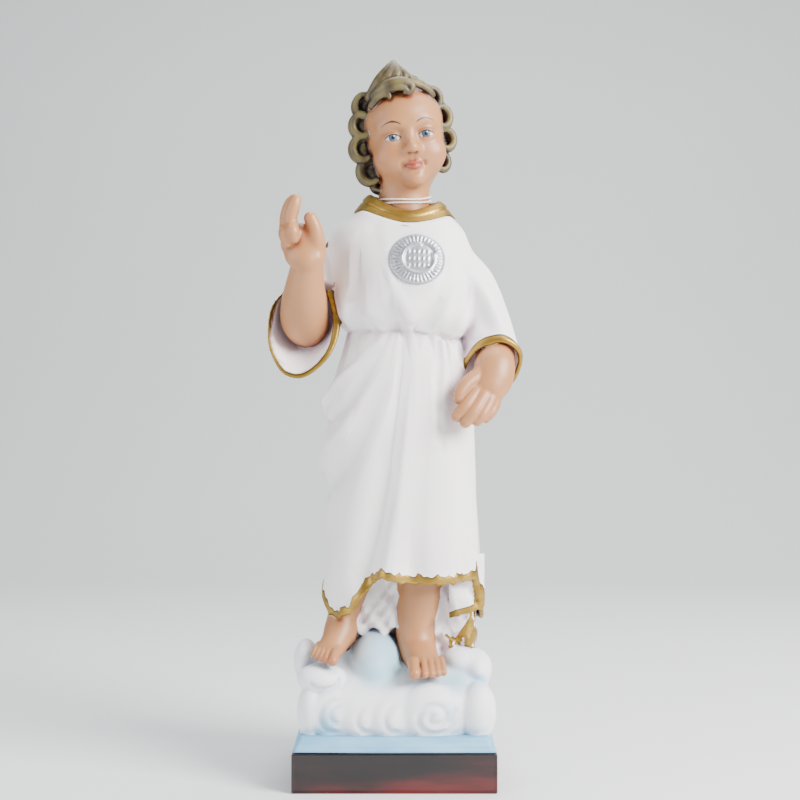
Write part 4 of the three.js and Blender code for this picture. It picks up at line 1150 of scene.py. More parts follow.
# Values of the figure on a grid, worked out only in the cubes that the surface may cross
def sampled(figure):
    low = np.maximum(figure.lows.min(axis=0) - 2, [-78, -60, PLINTH_HIGH[2] - 2])
    high = np.minimum(figure.highs.max(axis=0) + 2, [78, 60, 408])
    per_cube = int(round(CUBE / GRID))
    size = per_cube * GRID
    cubes = 2 * np.ceil((high - low) / (2 * size)).astype(int)
    numbers = np.stack(np.meshgrid(*[np.arange(n) for n in cubes], indexing="ij"), axis=-1)
    rough = figure.roughly((low + (numbers + 0.5) * size).reshape(-1, 3), 1.4 * size).reshape(cubes)
    values = np.where(rough < 0, -FAR, FAR).astype(np.float32)
    values = values.repeat(per_cube, 0).repeat(per_cube, 1).repeat(per_cube, 2)
    wanted = np.abs(rough) < 1.25 * size
    steps = np.stack(np.meshgrid(*[np.arange(per_cube)] * 3, indexing="ij"), axis=-1).reshape(-1, 3)
    for block in np.argwhere(wanted.reshape(cubes[0] // 2, 2, cubes[1] // 2, 2, -1, 2).any(axis=(1, 3, 5))):
        window = tuple(slice(2 * n, 2 * n + 2) for n in block)
        chosen = numbers[window][wanted[window]]
        cells = (chosen[:, None, :] * per_cube + steps).reshape(-1, 3)
        points = low + cells * GRID
        parts = figure.near(points.min(axis=0), points.max(axis=0))
        values[tuple(cells.T)] = figure.distance(points, parts)
    return values, low


# Surface net: one point in each grid cell that the surface crosses, joined by quads
def surface_net(values, low):
    inside = values < 0
    count = np.zeros(np.array(values.shape) - 1, np.int8)
    offsets = [(x, y, z) for x in (0, 1) for y in (0, 1) for z in (0, 1)]
    spans = [tuple(slice(o, n - 1 + o) for o, n in zip(offset, values.shape)) for offset in offsets]
    for span in spans:
        count += inside[span]
    cells = np.argwhere((count > 0) & (count < 8))
    number = np.full(count.shape, -1, np.int32)
    number[tuple(cells.T)] = np.arange(len(cells))
    corners = np.stack([values[tuple((cells + offset).T)] for offset in offsets], axis=1)
    total, crossings = np.zeros((len(cells), 3)), np.zeros(len(cells))
    for first in range(8):
        for axis in range(3):
            if offsets[first][axis]:
                continue
            second = first + (4, 2, 1)[axis]
            a, b = corners[:, first], corners[:, second]
            crossed = (a < 0) != (b < 0)
            t = np.where(crossed, a / np.where(crossed, a - b, 1), 0)
            place = np.tile(np.array(offsets[first], float), (len(cells), 1))
            place[:, axis] += t
            total += place * crossed[:, None]
            crossings += crossed
    points = low + (cells + total / crossings[:, None]) * GRID
    faces = []
    for axis in range(3):
        first = [slice(1, n - 1) for n in values.shape]
        second = list(first)
        first[axis] = slice(0, values.shape[axis] - 1)
        second[axis] = slice(1, values.shape[axis])
        a, b = inside[tuple(first)], inside[tuple(second)]
        edges = np.argwhere(a != b)
        leaving = a[tuple(edges.T)]
        start = edges + [slice_.start for slice_ in first]
        u, v = [other for other in range(3) if other != axis]
        quad = []
        for shift_u, shift_v in ((0, 0), (1, 0), (1, 1), (0, 1)):
            cell = start.copy()
            cell[:, u] -= shift_u
            cell[:, v] -= shift_v
            quad.append(number[tuple(cell.T)])
        quad = np.stack(quad, axis=1)
        turned = leaving if axis == 1 else ~leaving
        quad[turned] = quad[turned][:, ::-1]
        faces.append(quad)
    return points, np.concatenate(faces)


def mesh_object(name, points, faces):
    mesh = bpy.data.meshes.new(name)
    mesh.from_pydata((points * MM).tolist(), [], faces.tolist())
    mesh.validate()
    mesh.shade_smooth()
    thing = bpy.data.objects.new(name, mesh)
    bpy.context.scene.collection.objects.link(thing)
    return thing


def mesh_points(mesh):
    flat = np.empty(len(mesh.vertices) * 3, np.float32)
    mesh.vertices.foreach_get("co", flat)
    return flat.reshape(-1, 3).astype(float) / MM


def mesh_normals(mesh):
    flat = np.empty(len(mesh.vertices) * 3, np.float32)
    mesh.vertex_normals.foreach_get("vector", flat)
    return flat.reshape(-1, 3).astype(float)


# Closeness to the sleeves' mouths and the hem, from 0 to 1
def rim_closeness(figure, points):
    right, left = figure.sleeves
    near_hem = np.exp(-((figure.robe.above_hem(points) / 6) ** 2)) * (points[:, 2] < 125)
    near_mouths = [
        np.exp(-((sleeve.measured(points)[1] / 6) ** 2)) * (np.abs(points[:, 0]) > 25) * (points[:, 1] < 6)
        for sleeve in (right, left)
    ]
    return np.maximum.reduce([near_hem, *near_mouths])


# Fewer triangles where the form is calm, more on the head, hands, feet and medallion
def thinned(figure, thing, target):
    points = mesh_points(thing.data)
    triangles = sum(len(face.vertices) - 2 for face in thing.data.polygons)
    if triangles <= target:
        return
    front = ramp(-points[:, 1], 8, 20)
    detail = np.maximum.reduce([
        ramp(points[:, 2], 322, 328) * (0.45 + 0.4 * front),
        0.55 * ramp(points[:, 2], 300, 306),
        0.75 * ramp(-np.abs(points[:, 0] + 50) - np.abs(points[:, 2] - 302), -30, -22) * ramp(-points[:, 1], 24, 30),
        0.85 * ramp(-np.hypot(points[:, 0] - EMBLEM["x"], points[:, 2] - EMBLEM["z"]), -18, -15) * front,
        0.75 * ramp(-np.hypot(points[:, 0] - 45, points[:, 2] - 208), -26, -18) * ramp(-points[:, 1], 20, 26),
        0.75 * ramp(-np.abs(points[:, 2] - 66), -14, -8) * front,
        0.6 * rim_closeness(figure, points),
        0.3 * ramp(-points[:, 2], -80, -74),
    ])
    group = thing.vertex_groups.new(name="calm")
    levels = np.round((1 - detail) * 20) / 20
    for level in np.unique(levels):
        group.add(np.flatnonzero(levels == level).tolist(), float(level), "REPLACE")
    reduce_faces = thing.modifiers.new("thin", "DECIMATE")
    reduce_faces.ratio = target / triangles
    reduce_faces.vertex_group = group.name
    reduce_faces.vertex_group_factor = 1.0
    bake_modifiers(thing)
    thing.vertex_groups.clear()


# Points slide back on to the true surface after thinning
def settled(figure, mesh):
    points, normals = mesh_points(mesh), mesh_normals(mesh)
    off = np.clip(figure.at(points), -0.4, 0.4)
    points -= 0.9 * off[:, None] * normals
    mesh.vertices.foreach_set("co", (points * MM).ravel().astype(np.float32))
    mesh.update()


def bake_modifiers(thing):
    depsgraph = bpy.context.evaluated_depsgraph_get()
    baked = bpy.data.meshes.new_from_object(thing.evaluated_get(depsgraph))
    old = thing.data
    thing.modifiers.clear()
    thing.data = baked
    bpy.data.meshes.remove(old)
    thing.data.name = thing.name
    thing.data.shade_smooth()


def write_values(mesh, name, values):
    layer = mesh.attributes.new(name, "FLOAT", "POINT")
    layer.data.foreach_set("value", np.asarray(values, np.float32))


def write_vectors(mesh, name, vectors):
    layer = mesh.attributes.new(name, "FLOAT_VECTOR", "POINT")
    layer.data.foreach_set("vector", np.asarray(vectors, np.float32).ravel())


GROUPS = ("robe", "skin", "hair", "cloud", "bed", "emblem", "gold")


# Distance from each paint's edge, negative where that paint lies
def paint_edges(figure, points):
    def measure(p, parts):
        table = np.full((len(p), len(GROUPS)), FAR / 10)
        for group, shape, _ in parts:
            column = GROUPS.index(group)
            table[:, column] = np.minimum(table[:, column], shape.distance(p))
        return table

    table = figure.everywhere(points, measure)
    edges = {}
    for column, group in enumerate(GROUPS):
        others = np.delete(table, column, axis=1).min(axis=1)
        edges[group] = np.clip(table[:, column] - others, -20, 20)
    return edges


def near_robe_gold(figure, points):
    robe = figure.robe
    hem = np.where((points[:, 2] < 135) & (robe.column.side(points) > -3.2), robe.gold(points), FAR)
    above, sheet = panel_distances(points)
    panel = np.where((points[:, 0] > PANEL["from_x"] - 3) & (np.abs(sheet) < 2) & (points[:, 2] < 110)
                     & (robe.column.side(points) < -1.5), above - 4.0, FAR)
    sleeves = [sleeve.gold(points) for sleeve in figure.sleeves]
    right = np.where((points[:, 0] < -20) & (points[:, 1] < 4), sleeves[0], FAR)
    left = np.where((points[:, 0] > 30) & (points[:, 1] < 4), sleeves[1], FAR)
    return np.clip(np.minimum.reduce([hem, panel, right, left]), -20, 20)


def paint_layers(figure, thing):
    mesh = thing.data
    points, normals = mesh_points(mesh), mesh_normals(mesh)
    edges = paint_edges(figure, points)
    edges["gold"] = np.minimum(edges["gold"], np.maximum(near_robe_gold(figure, points), edges["robe"]))
    for group in ("skin", "hair", "cloud", "bed", "emblem", "gold"):
        write_values(mesh, group + "_edge", edges[group])
    # How closed in each point is at 1.6 mm and 5 mm; most paints below darken by these as painted shade in creases and
    # hollows
    for name, reach in (("cavity", 1.6), ("hollow", 5.0)):
        open_space = figure.at(points + normals * reach)
        write_values(mesh, name, np.clip(1 - open_space / reach, -0.5, 1.2))
    write_vectors(mesh, "head_place", (points - HEAD_MIDDLE) @ HEAD_TURN)
    write_values(mesh, "airbrush_and_shade", cloud_blue(points, normals))
    write_values(mesh, "blush_and_shade", skin_blush_and_shade(points))


def spot(points, centre, halves):
    return np.exp(-(((points - np.array(centre)) / np.array(halves)) ** 2).sum(axis=1))


# Pale-blue airbrushed paint on the clouds: between the feet, beside the left foot and low in the crescents, with blue
# painted shade just under the drape's lower edge
def cloud_blue(points, normals):
    total = 1.0 * spot(points, (-8, -24, 62), (15, 26, 11))
    # Blue painted shade on the cloud just under the drape's lower edge
    total += 0.55 * spot(points, (-6, -14, 76), (16, 20, 8))
    total += 0.8 * spot(points, (34, -30, 57), (8, 20, 7))
    total += 0.7 * spot(points, (47, -22, 55), (5, 20, 5))
    total += 0.8 * spot(points, (-36, -42, 35), (6, 14, 10))
    total += 0.35 * spot(points, (31, -42, 41), (4, 10, 8))
    total += 0.7 * np.exp(-(((points[:, 2] - 27) / 3.2) ** 2))
    back = ramp(points[:, 1], 0, 20)
    total += 0.55 * back * (0.5 + 0.5 * np.sin(points[:, 0] * 0.13 + points[:, 2] * 0.16))
    return np.clip(total, 0, 1)


# Rosy tint on the cheeks, nose tip, chin, hairline, knuckles and toes, plus reddish painted shade between the raised
# thumb and fingers, at the root of the hanging hand's thumb and on the left instep under the drape
def skin_blush_and_shade(points):
    head = (points - HEAD_MIDDLE) @ HEAD_TURN
    total = sum(0.75 * spot(head, (side * 12.5, -16, -11), (6.5, 9, 6)) for side in (-1, 1))
    total += 0.35 * spot(head, (0, -24, -11.5), (4, 5, 3))
    total += 0.35 * spot(head, (0, -18, -26.5), (6, 6, 3.5))
    total += 0.55 * spot(head, (0, -16, 22), (18, 9, 5))
    total += 0.6 * spot(points, (-46.5, -40, 303), (3, 8, 8))
    total += 0.5 * spot(points, (-54, -44, 299), (7, 6, 6))
    total += 0.7 * spot(points, (43, -26, 226), (5, 8, 6))
    total += 0.5 * spot(points, (47, -35, 208), (9, 7, 5))
    total += 0.6 * spot(points, (18, -42, 60), (12, 8, 4))
    total += 0.6 * spot(points, (-38, -38, 69), (9, 8, 4))
    total += 0.5 * spot(points, (12, -14, 76), (12, 12, 3))
    return np.clip(total, 0, 1)


def build_figure():
    figure = Figure()
    values, low = sampled(figure)
    points, faces = surface_net(values, low)
    thing = mesh_object("painted_figure", points, faces)
    thinned(figure, thing, 192000)
    settled(figure, thing.data)
    paint_layers(figure, thing)
    thing.data.materials.append(painted_cast())
    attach(thing, "root")
    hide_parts("figure")
    return thing


# Colour from the hexadecimal notation of sRGB
def colour(text):
    channels = [int(text[start:start + 2], 16) / 255 for start in (0, 2, 4)]
    return [c / 12.92 if c <= 0.04045 else ((c + 0.055) / 1.055) ** 2.4 for c in channels] + [1.0]


class Wire:
    """A number in a node tree; arithmetic on it adds math nodes."""

    def __init__(self, tree, socket):
        self.tree, self.socket = tree, socket

    def joined(self, operation, *others):
        node = self.tree.nodes.new("ShaderNodeMath")
        node.operation = operation
        for index, value in enumerate((self, *others)):
            if isinstance(value, Wire):
                self.tree.links.new(value.socket, node.inputs[index])
            else:
                node.inputs[index].default_value = value
        return Wire(self.tree, node.outputs[0])

    def __add__(self, other):
        return self.joined("ADD", other)

    def __sub__(self, other):
        return self.joined("SUBTRACT", other)

    def __mul__(self, other):
        return self.joined("MULTIPLY", other)

    def below(self, edge, soft):
        node = self.tree.nodes.new("ShaderNodeMapRange")
        node.interpolation_type = "SMOOTHSTEP"
        self.tree.links.new(self.socket, node.inputs["Value"])
        node.inputs["From Min"].default_value = edge - soft
        node.inputs["From Max"].default_value = edge + soft
        node.inputs["To Min"].default_value = 1.0
        node.inputs["To Max"].default_value = 0.0
        return Wire(self.tree, node.outputs["Result"])

    def above(self, edge, soft):
        return self.below(edge, soft).joined("MULTIPLY_ADD", -1.0, 1.0)

    def absolute(self):
        return self.joined("ABSOLUTE")

    def least(self, other):
        return self.joined("MINIMUM", other)

    def most(self, other):
        return self.joined("MAXIMUM", other)


class Painter:
    """Adds nodes to one material's or node group's tree."""

    def __init__(self, tree):
        self.tree = tree

    def value(self, name):
        node = self.tree.nodes.new("ShaderNodeAttribute")
        node.attribute_name = name
        return Wire(self.tree, node.outputs["Fac"])

    def place(self, name):
        node = self.tree.nodes.new("ShaderNodeAttribute")
        node.attribute_name = name
        parts = self.tree.nodes.new("ShaderNodeSeparateXYZ")
        self.tree.links.new(node.outputs["Vector"], parts.inputs[0])
        return [Wire(self.tree, socket) for socket in parts.outputs]

    def noise(self, scale, detail=3.0, stretch=(1, 1, 1), roughness=0.5):
        coordinates = self.tree.nodes.new("ShaderNodeTexCoord")
        mapping = self.tree.nodes.new("ShaderNodeMapping")
        mapping.inputs["Scale"].default_value = stretch
        node = self.tree.nodes.new("ShaderNodeTexNoise")
        node.inputs["Scale"].default_value = scale / MM / 1000
        node.inputs["Detail"].default_value = detail
        node.inputs["Roughness"].default_value = roughness
        self.tree.links.new(coordinates.outputs["Object"], mapping.inputs["Vector"])
        self.tree.links.new(mapping.outputs["Vector"], node.inputs["Vector"])
        return Wire(self.tree, node.outputs["Fac"])

    def mixed(self, first, second, mask):
        node = self.tree.nodes.new("ShaderNodeMix")
        node.data_type = "RGBA"
        self.tree.links.new(mask.socket, node.inputs["Factor"])
        for index, value in ((6, first), (7, second)):
            if isinstance(value, Wire):
                self.tree.links.new(value.socket, node.inputs[index])
            else:
                node.inputs[index].default_value = colour(value)
        return Wire(self.tree, node.outputs[2])

    def blended(self, first, second, mask):
        difference = second - first if isinstance(second, Wire) else None
        if difference is not None:
            return first + mask * difference
        return first + mask * (first * -1.0 + second)

    def constant(self, number):
        node = self.tree.nodes.new("ShaderNodeValue")
        node.outputs[0].default_value = number
        return Wire(self.tree, node.outputs[0])


def white_paint(paint, cavity, hollow):
    # Lilac painted shade in the hollows and deeper lilac painted shade in creases, then a random pinkish mottle
    cloth = paint.mixed("f2efee", "dccfd8", hollow.above(0.35, 0.35))
    cloth = paint.mixed(cloth, "b9a6b4", cavity.above(0.5, 0.45) * 0.6)
    mottle = paint.noise(26, 2).above(0.56, 0.16)
    return paint.mixed(cloth, "efe2e4", mottle * 0.5)


def cloud_paint(paint, cavity, hollow, airbrush_and_shade):
    # Grey-lilac painted shade in creases; the pale blue in the hollows is airbrushed paint that also works as painted
    # shade
    base = paint.mixed("efeff3", "cfc6d6", cavity.above(0.35, 0.4) * 0.7)
    base = paint.mixed(base, "b4cfdd", hollow.above(0.5, 0.4) * 0.6)
    drift = paint.noise(45, 3).above(0.4, 0.35)
    # Placed pale-blue airbrushed paint, with blue painted shade under the drape's edge
    mask = (airbrush_and_shade * (drift * 0.5 + 0.6)).above(0.42, 0.4)
    return paint.mixed(base, "86c0d8", mask * 0.85)


def bed_paint(paint, hollow):
    drift = paint.noise(30, 3, (1, 1, 3)).above(0.5, 0.2)
    base = paint.mixed("86bcd6", "6aa5cb", drift)
    # Darker blue in the hollows is painted shade
    return paint.mixed(base, "5b90b4", hollow.above(0.4, 0.4) * 0.5)


def skin_paint(paint, cavity, hollow, blush_and_shade):
    base = paint.mixed("b07c52", "a06c44", paint.noise(38, 2).above(0.5, 0.3) * 0.6)
    # Rosy tint, partly reddish painted shade between fingers and under the drape
    base = paint.mixed(base, "a5502c", blush_and_shade * 0.55)
    # Browner painted shade in the hollows and deep red-brown painted shade in creases
    base = paint.mixed(base, "8f5632", hollow.above(0.5, 0.45) * 0.5)
    return paint.mixed(base, "6a2f18", cavity.above(0.5, 0.4) * 0.8)


# Brows, eyes and lips, drawn in the head's own millimetres and the same on both sides
def face_paint(paint, skin):
    across, depth, height = paint.place("head_place")
    x = across.absolute()
    front = depth.below(-8, 1)
    brow_x = x - 9.8
    brow = (height - BROW_Z + brow_x * brow_x * 0.07).absolute()
    brow_width = (brow_x + 1.2).absolute() * -0.07 + 0.62
    brow_mask = (brow - brow_width).below(0, 0.16) * brow_x.absolute().below(5.4, 0.5)
    eye_x, eye_z = x - EYE["x"], height - EYE["z"]
    square = eye_x * eye_x
    upper = eye_z - (square * LIDS["upper_bend"] + LIDS["upper"])
    lower = (square * LIDS["lower_bend"] + LIDS["lower"]) - eye_z
    opening = upper.most(lower)
    white_mask = opening.below(0, 0.1) * front
    iris = (square + (eye_z + 0.1) * (eye_z + 0.1)).joined("SQRT")
    lash = ((upper - 0.1).absolute() - 0.28).below(0, 0.12) * eye_x.absolute().below(4.7, 0.3)
    under = ((lower - 0.05).absolute() - 0.1).below(0, 0.12) * eye_x.absolute().below(4.2, 0.5)
    crease = ((upper - 1.3).absolute() - 0.16).below(0, 0.2) * eye_x.absolute().below(4.8, 0.6)
    glint_height = (eye_z - 0.75).absolute()
    glint = ((across - (EYE["x"] + 0.7)).absolute().least((across + (EYE["x"] - 0.7)).absolute()) + glint_height)
    mouth_x = x * x
    top_lip = height - (mouth_x * -0.05 + (x - 1.6).absolute() * -0.16 - 16.75)
    low_lip = (mouth_x * 0.085 - 22.1) - height
    lip_mask = top_lip.most(low_lip).below(0, 0.25) * x.below(5.3, 0.3)
    parting = ((height + mouth_x * -0.012 - MOUTH_Z).absolute() - 0.2).below(0, 0.2) * x.below(5.2, 0.3)
    shade = eye_x.absolute().below(5.8, 1.6) * (eye_z - 2.6).absolute().below(1.3, 1.4)
    face = paint.mixed(skin, "7d4a2c", shade * front * 0.4)
    face = paint.mixed(face, "93382a", lip_mask * front * 0.85)
    face = paint.mixed(face, "4a1813", parting * front * 0.85)
    face = paint.mixed(face, "5d3320", crease * front * 0.65)
    face = paint.mixed(face, "cfc6bd", white_mask)
    # Grey painted shadow of the upper lid over the top of each eye white
    face = paint.mixed(face, "6e6a68", white_mask * upper.above(-0.9, 0.8) * 0.6)
    face = paint.mixed(face, "3d5064", white_mask * iris.below(2.35, 0.14))
    face = paint.mixed(face, "1d262f", white_mask * (iris - 2.2).absolute().below(0.2, 0.14) * 0.8)
    face = paint.mixed(face, "060505", white_mask * iris.below(1.0, 0.14))
    face = paint.mixed(face, "f4f4f4", white_mask * glint.below(0.4, 0.12))
    face = paint.mixed(face, "5a3524", under * front * 0.7)
    face = paint.mixed(face, "150c08", lash * front)
    return paint.mixed(face, "24150e", brow_mask * front * 0.9)


def hair_paint(paint, cavity, hollow):
    streak = paint.noise(120, 3, (1, 1, 0.5))
    base = paint.mixed("3a2c1b", "54482a", streak.above(0.5, 0.15))
    ridge = cavity.below(0.1, 0.16)
    base = paint.mixed(base, "6d6236", ridge * streak.above(0.45, 0.2) * 0.8)
    # Near-black painted shade in creases and dark brown painted shade in the hollows
    base = paint.mixed(base, "170c09", cavity.above(0.3, 0.22))
    return paint.mixed(base, "24110b", hollow.above(0.62, 0.25) * 0.8)


def painted_cast():
    material = bpy.data.materials.new("painted_cast")
    material.use_nodes = True
    tree = material.node_tree
    shader = tree.nodes["Principled BSDF"]
    paint = Painter(tree)
    cavity, hollow = paint.value("cavity"), paint.value("hollow")
    wander = (paint.noise(140, 2) - 0.5) * 0.5
    masks = {}
    for group, soft in (("cloud", 0.25), ("bed", 0.25), ("skin", 0.2), ("hair", 0.5), ("emblem", 0.12),
                        ("gold", 0.14)):
        masks[group] = (paint.value(group + "_edge") + wander).below(0, soft)
    base = white_paint(paint, cavity, hollow)
    base = paint.mixed(base, cloud_paint(paint, cavity, hollow, paint.value("airbrush_and_shade")), masks["cloud"])
    base = paint.mixed(base, bed_paint(paint, hollow), masks["bed"])
    skin = face_paint(paint, skin_paint(paint, cavity, hollow, paint.value("blush_and_shade")))
    base = paint.mixed(base, skin, masks["skin"])
    feather = (paint.value("hair_edge") + wander).below(0.6, 1.6) * masks["skin"]
    base = paint.mixed(base, "4a1c10", feather * 0.6)
    base = paint.mixed(base, hair_paint(paint, cavity, hollow), masks["hair"])
    # Silver paint, dark grey in creases as painted shade
    silver = paint.mixed("b4b8bf", "4f5359", cavity.above(0.25, 0.3))
    base = paint.mixed(base, silver, masks["emblem"])
    gold = paint.mixed("9a7a34", "4a3410", cavity.above(0.4, 0.35))
    gold = paint.mixed(gold, "b49748", paint.noise(70, 3, (1, 1, 4)).above(0.55, 0.15) * 0.6)
    line = (paint.value("gold_edge") + wander + 0.3).absolute().below(0.3, 0.25)
    gold = paint.mixed(gold, "3c2a0c", line * 0.7)
    base = paint.mixed(base, gold, masks["gold"])
    tree.links.new(base.socket, shader.inputs["Base Color"])
    metal = masks["gold"].most(masks["emblem"])
    tree.links.new((metal * 0.8).socket, shader.inputs["Metallic"])
    rough = paint.blended(paint.constant(0.52), 0.42, masks["skin"])
    rough = paint.blended(rough, 0.5, masks["hair"])
    rough = paint.blended(rough, 0.4, masks["gold"])
    rough = paint.blended(rough, 0.4, masks["emblem"])
    rough = rough + (paint.noise(90, 3) - 0.5) * 0.12
    tree.links.new(rough.socket, shader.inputs["Roughness"])
    shader.inputs["Subsurface Weight"].default_value = 0.04
    shader.inputs["Subsurface Radius"].default_value = (0.004, 0.003, 0.002)
    add_bump(tree, shader, plaster_height(paint), 0.25, 0.00012)
    return material


def plaster_height(paint):
    return paint.noise(420, 3) * 0.6 + paint.noise(60, 2) * 0.8


def add_bump(tree, shader, height, strength, distance):
    bump = tree.nodes.new("ShaderNodeBump")
    bump.inputs["Strength"].default_value = strength
    bump.inputs["Distance"].default_value = distance
    tree.links.new(height.socket, bump.inputs["Height"])
    tree.links.new(bump.outputs["Normal"], shader.inputs["Normal"])


# Plinth block with softly broken arrises, slightly uneven like hand-finished plaster
def build_plinth():
    half = (PLINTH_HIGH - PLINTH_LOW) / 2
    segments = (44, 40, 9)
    points, faces, index = [], [], {}
    size = half * 2

    def corner_number(place):
        if place not in index:
            index[place] = len(points)
            points.append([PLINTH_LOW[k] + size[k] * place[k] / segments[k] for k in range(3)])
        return index[place]

    for axis in range(3):
        u, v = (axis + 1) % 3, (axis + 2) % 3
        for level in (0, segments[axis]):
            for i in range(segments[u]):
                for j in range(segments[v]):
                    quad = []
                    for di, dj in ((0, 0), (1, 0), (1, 1), (0, 1)):
                        place = [0, 0, 0]
                        place[axis], place[u], place[v] = level, i + di, j + dj
                        quad.append(corner_number(tuple(place)))
                    faces.append(quad if level else quad[::-1])
    points, faces = np.array(points), np.array(faces)
    thing = mesh_object("lacquered_plinth", points, faces)
    bevel = thing.modifiers.new("arris", "BEVEL")
    bevel.width = 0.9 * MM
    bevel.segments = 4
    bevel.limit_method = "ANGLE"
    bevel.angle_limit = math.radians(60)
    bake_modifiers(thing)
    settle_plinth(thing.data)
    thing.data.materials.append(dark_lacquer())
    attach(thing, "root")
    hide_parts("plinth")
    return thing


def settle_plinth(mesh):
    points = mesh_points(mesh)
    wave = 0.16 * np.sin(points[:, 0] * 0.11 + 1) + 0.12 * np.sin(points[:, 2] * 0.4 + points[:, 0] * 0.05)
    inwards = -(0.2 + np.abs(wave))
    for axis, limit in ((0, PLINTH_HIGH[0]), (1, PLINTH_HIGH[1])):
        on_face = np.abs(np.abs(points[:, axis]) - limit) < 0.05
        points[on_face, axis] += np.sign(points[on_face, axis]) * inwards[on_face]
    mesh.vertices.foreach_set("co", (points * MM).ravel().astype(np.float32))
    mesh.update()


def dark_lacquer():
    material = bpy.data.materials.new("dark_lacquer")
    material.use_nodes = True
    tree = material.node_tree
    shader = tree.nodes["Principled BSDF"]
    paint = Painter(tree)
    streaks = paint.noise(26, 4, (0.32, 0.32, 2.6), 0.6)
    clouds = paint.noise(13, 2, (0.5, 0.5, 1.2))
    base = paint.mixed("0c0506", "2a090c", streaks.above(0.5, 0.16))
    # Lighter red streaks: the lacquer's own marbling, also standing in for its glossy reflections as painted
    # reflection
    base = paint.mixed(base, "5c1614", (streaks * 0.55 + clouds * 0.6).above(0.68, 0.08) * 0.8)
    tree.links.new(base.socket, shader.inputs["Base Color"])
    rough = streaks * 0.14 + 0.26
    tree.links.new(rough.socket, shader.inputs["Roughness"])
    shader.inputs["Coat Weight"].default_value = 0.2
    shader.inputs["Coat Roughness"].default_value = 0.15
    add_bump(tree, shader, streaks * 0.7 + paint.noise(160, 2) * 0.3, 0.2, 0.0003)
    return material


# Two thin plies twisted together and wound twice round the neck
THREAD = {"turns": 2.0, "pitch": 2.0, "middle": 323.4, "reach": 15.0, "ply": 0.34, "twist": 2.6, "sag": 2.6}


def build_thread():
    x, y = NECK["middle"]
    per_turn, sides = 120, 7
    count = int(per_turn * THREAD["turns"])
    turn = np.linspace(0, THREAD["turns"], count + 1)
    angle = 2 * math.pi * turn + math.pi / 2
    sag = -THREAD["sag"] * np.maximum(-np.sin(angle), 0)
    wobble = 0.25 * np.sin(angle * 3 + turn)
    centre = np.stack([
        x + THREAD["reach"] * np.cos(angle),
        y + THREAD["reach"] * np.sin(angle),
        THREAD["middle"] + (turn - THREAD["turns"] / 2) * THREAD["pitch"] + sag + wobble,
    ], axis=1)
    tangent = np.gradient(centre, axis=0)
    tangent /= length(tangent)[:, None]
    outwards = np.stack([np.cos(angle), np.sin(angle), np.zeros_like(angle)], axis=1)
    upwards = np.cross(tangent, outwards)
    run = np.concatenate([[0], np.cumsum(length(np.diff(centre, axis=0)))])
    points, faces = [], []
    for ply in range(2):
        phase = 2 * math.pi * run / THREAD["twist"] + math.pi * ply
        axis = centre + 0.3 * (np.cos(phase)[:, None] * outwards + np.sin(phase)[:, None] * upwards)
        start = len(points)
        for row in range(count + 1):
            for side in range(sides):
                spoke = 2 * math.pi * side / sides
                offset = math.cos(spoke) * outwards[row] + math.sin(spoke) * upwards[row]
                points.append(axis[row] + THREAD["ply"] * offset)
        for row in range(count):
            for side in range(sides):
                a, b = start + row * sides + side, start + row * sides + (side + 1) % sides
                faces.append([a, b, b + sides, a + sides])
        faces.extend(end_caps(start, count, sides))
    mesh_faces = [face for face in faces]
    mesh = bpy.data.meshes.new("neck_thread_plies")
    mesh.from_pydata((np.array(points) * MM).tolist(), [], mesh_faces)
    mesh.validate()
    mesh.shade_smooth()
    thing = bpy.data.objects.new("neck_thread_plies", mesh)
    bpy.context.scene.collection.objects.link(thing)
    thing.data.materials.append(white_thread())
    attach(thing, "root")
    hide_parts("neck_thread")
    return thing


def end_caps(start, count, sides):
    first = [start + side for side in range(sides)][::-1]
    last = [start + count * sides + side for side in range(sides)]
    return [first, last]


def white_thread():
    material = bpy.data.materials.new("white_thread")
    material.use_nodes = True
    tree = material.node_tree
    shader = tree.nodes["Principled BSDF"]
    paint = Painter(tree)
    fibres = paint.noise(900, 2, (1, 1, 0.4))
    base = paint.mixed("f4f1ee", "d9cfca", fibres.above(0.55, 0.2))
    tree.links.new(base.socket, shader.inputs["Base Color"])
    shader.inputs["Roughness"].default_value = 0.82
    shader.inputs["Sheen Weight"].default_value = 0.3
    add_bump(tree, shader, fibres, 0.4, 0.0001)
    return material


# Stage: pale sweep, soft lights and a level camera
CAMERA = {"place": (3.0, -786.0, 209.7), "half_view": 227.3}
SWEEP = {"half_width": 2600.0, "front": -1500.0, "back": 1500.0, "bend": 700.0, "height": 2600.0}


def build_sweep():
    steps = 24
    profile = [(SWEEP["front"], 0.0), (SWEEP["back"] - SWEEP["bend"], 0.0)]
    for step in range(1, steps + 1):
        angle = math.pi / 2 * step / steps
        profile.append((
            SWEEP["back"] - SWEEP["bend"] + SWEEP["bend"] * math.sin(angle),
            SWEEP["bend"] * (1 - math.cos(angle)),
        ))
    profile.append((SWEEP["back"], SWEEP["height"]))
    points, faces = [], []
    for y, z in profile:
        points.extend([[-SWEEP["half_width"], y, z], [SWEEP["half_width"], y, z]])
    for row in range(len(profile) - 1):
        faces.append([2 * row, 2 * row + 1, 2 * row + 3, 2 * row + 2])
    sweep = mesh_object("studio_sweep", np.array(points), np.array(faces))
    material = bpy.data.materials.new("sweep_paper")
    material.use_nodes = True
    tree = material.node_tree
    paint = Painter(tree)
    base = paint.mixed("dcdede", "d8dadb", paint.noise(4, 2))
    tree.links.new(base.socket, tree.nodes["Principled BSDF"].inputs["Base Color"])
    tree.nodes["Principled BSDF"].inputs["Roughness"].default_value = 0.9
    sweep.data.materials.append(material)


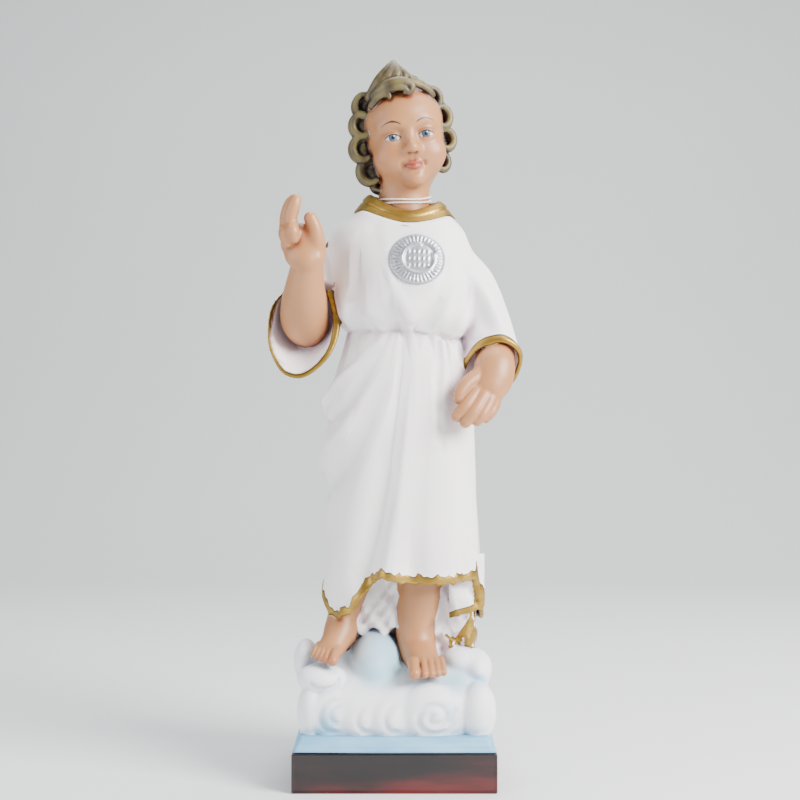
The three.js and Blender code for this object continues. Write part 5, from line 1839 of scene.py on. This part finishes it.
def area_light(name, place, aim, size, power, tint=(1, 1, 1)):
    light = bpy.data.lights.new(name, "AREA")
    light.shape = "RECTANGLE"
    light.size, light.size_y = size[0] * MM, size[1] * MM
    light.energy = power
    light.color = tint
    thing = bpy.data.objects.new(name, light)
    thing.location = Vector(place) * MM
    thing.rotation_euler = (Vector(aim) - Vector(place)).to_track_quat("-Z", "Y").to_euler()
    bpy.context.scene.collection.objects.link(thing)


def build_lights():
    world = bpy.data.worlds.new("soft_room")
    world.use_nodes = True
    world.node_tree.nodes["Background"].inputs["Color"].default_value = (0.93, 0.96, 1.0, 1)
    world.node_tree.nodes["Background"].inputs["Strength"].default_value = 0.35
    bpy.context.scene.world = world
    aim = (0, 0, 210)
    area_light("key", (900, -560, 760), aim, (620, 620), 50.0, (1.0, 0.985, 0.96))
    area_light("fill", (-900, -520, 420), aim, (900, 900), 11.0, (0.94, 0.96, 1.0))
    area_light("top", (100, 250, 1300), aim, (900, 900), 18.0)


def build_camera():
    camera = bpy.data.cameras.new("camera")
    camera.sensor_width = 36
    camera.lens = 36 * -CAMERA["place"][1] / (2 * CAMERA["half_view"])
    camera.clip_start, camera.clip_end = 0.01, 20
    thing = bpy.data.objects.new("camera", camera)
    thing.location = Vector(CAMERA["place"]) * MM
    thing.rotation_euler = (math.pi / 2, 0, 0)
    bpy.context.scene.collection.objects.link(thing)
    bpy.context.scene.camera = thing


class STATUETTE_OT_figure(bpy.types.Operator):
    """Sculpt and paint the cast figure"""

    bl_idname = "statuette.figure"
    bl_label = "Build the figure"

    def execute(self, context):
        build_figure()
        return {"FINISHED"}


class STATUETTE_OT_plinth(bpy.types.Operator):
    """Build the lacquered plinth"""

    bl_idname = "statuette.plinth"
    bl_label = "Build the plinth"

    def execute(self, context):
        build_plinth()
        return {"FINISHED"}


class STATUETTE_OT_thread(bpy.types.Operator):
    """Wind the thread round the neck"""

    bl_idname = "statuette.thread"
    bl_label = "Build the neck thread"

    def execute(self, context):
        build_thread()
        return {"FINISHED"}


class STATUETTE_OT_stage(bpy.types.Operator):
    """Set the sweep, the lights and the camera"""

    bl_idname = "statuette.stage"
    bl_label = "Set the stage"

    def execute(self, context):
        build_sweep()
        build_lights()
        build_camera()
        return {"FINISHED"}


class STATUETTE_PT_panel(bpy.types.Panel):
    """Buttons for each piece of the statuette"""

    bl_idname = "STATUETTE_PT_panel"
    bl_label = "Statuette"
    bl_space_type = "VIEW_3D"
    bl_region_type = "UI"
    bl_category = "Statuette"

    def draw(self, context):
        for operator in OPERATORS:
            self.layout.operator(operator.bl_idname)


OPERATORS = (STATUETTE_OT_figure, STATUETTE_OT_plinth, STATUETTE_OT_thread, STATUETTE_OT_stage)
CLASSES = (*OPERATORS, STATUETTE_PT_panel)


def register():
    for each in CLASSES:
        bpy.utils.register_class(each)


def unregister():
    for each in reversed(CLASSES):
        bpy.utils.unregister_class(each)


def main():
    register()
    bpy.ops.statuette.figure()
    bpy.ops.statuette.plinth()
    bpy.ops.statuette.thread()
    bpy.ops.statuette.stage()


if __name__ == "__main__":
    main()
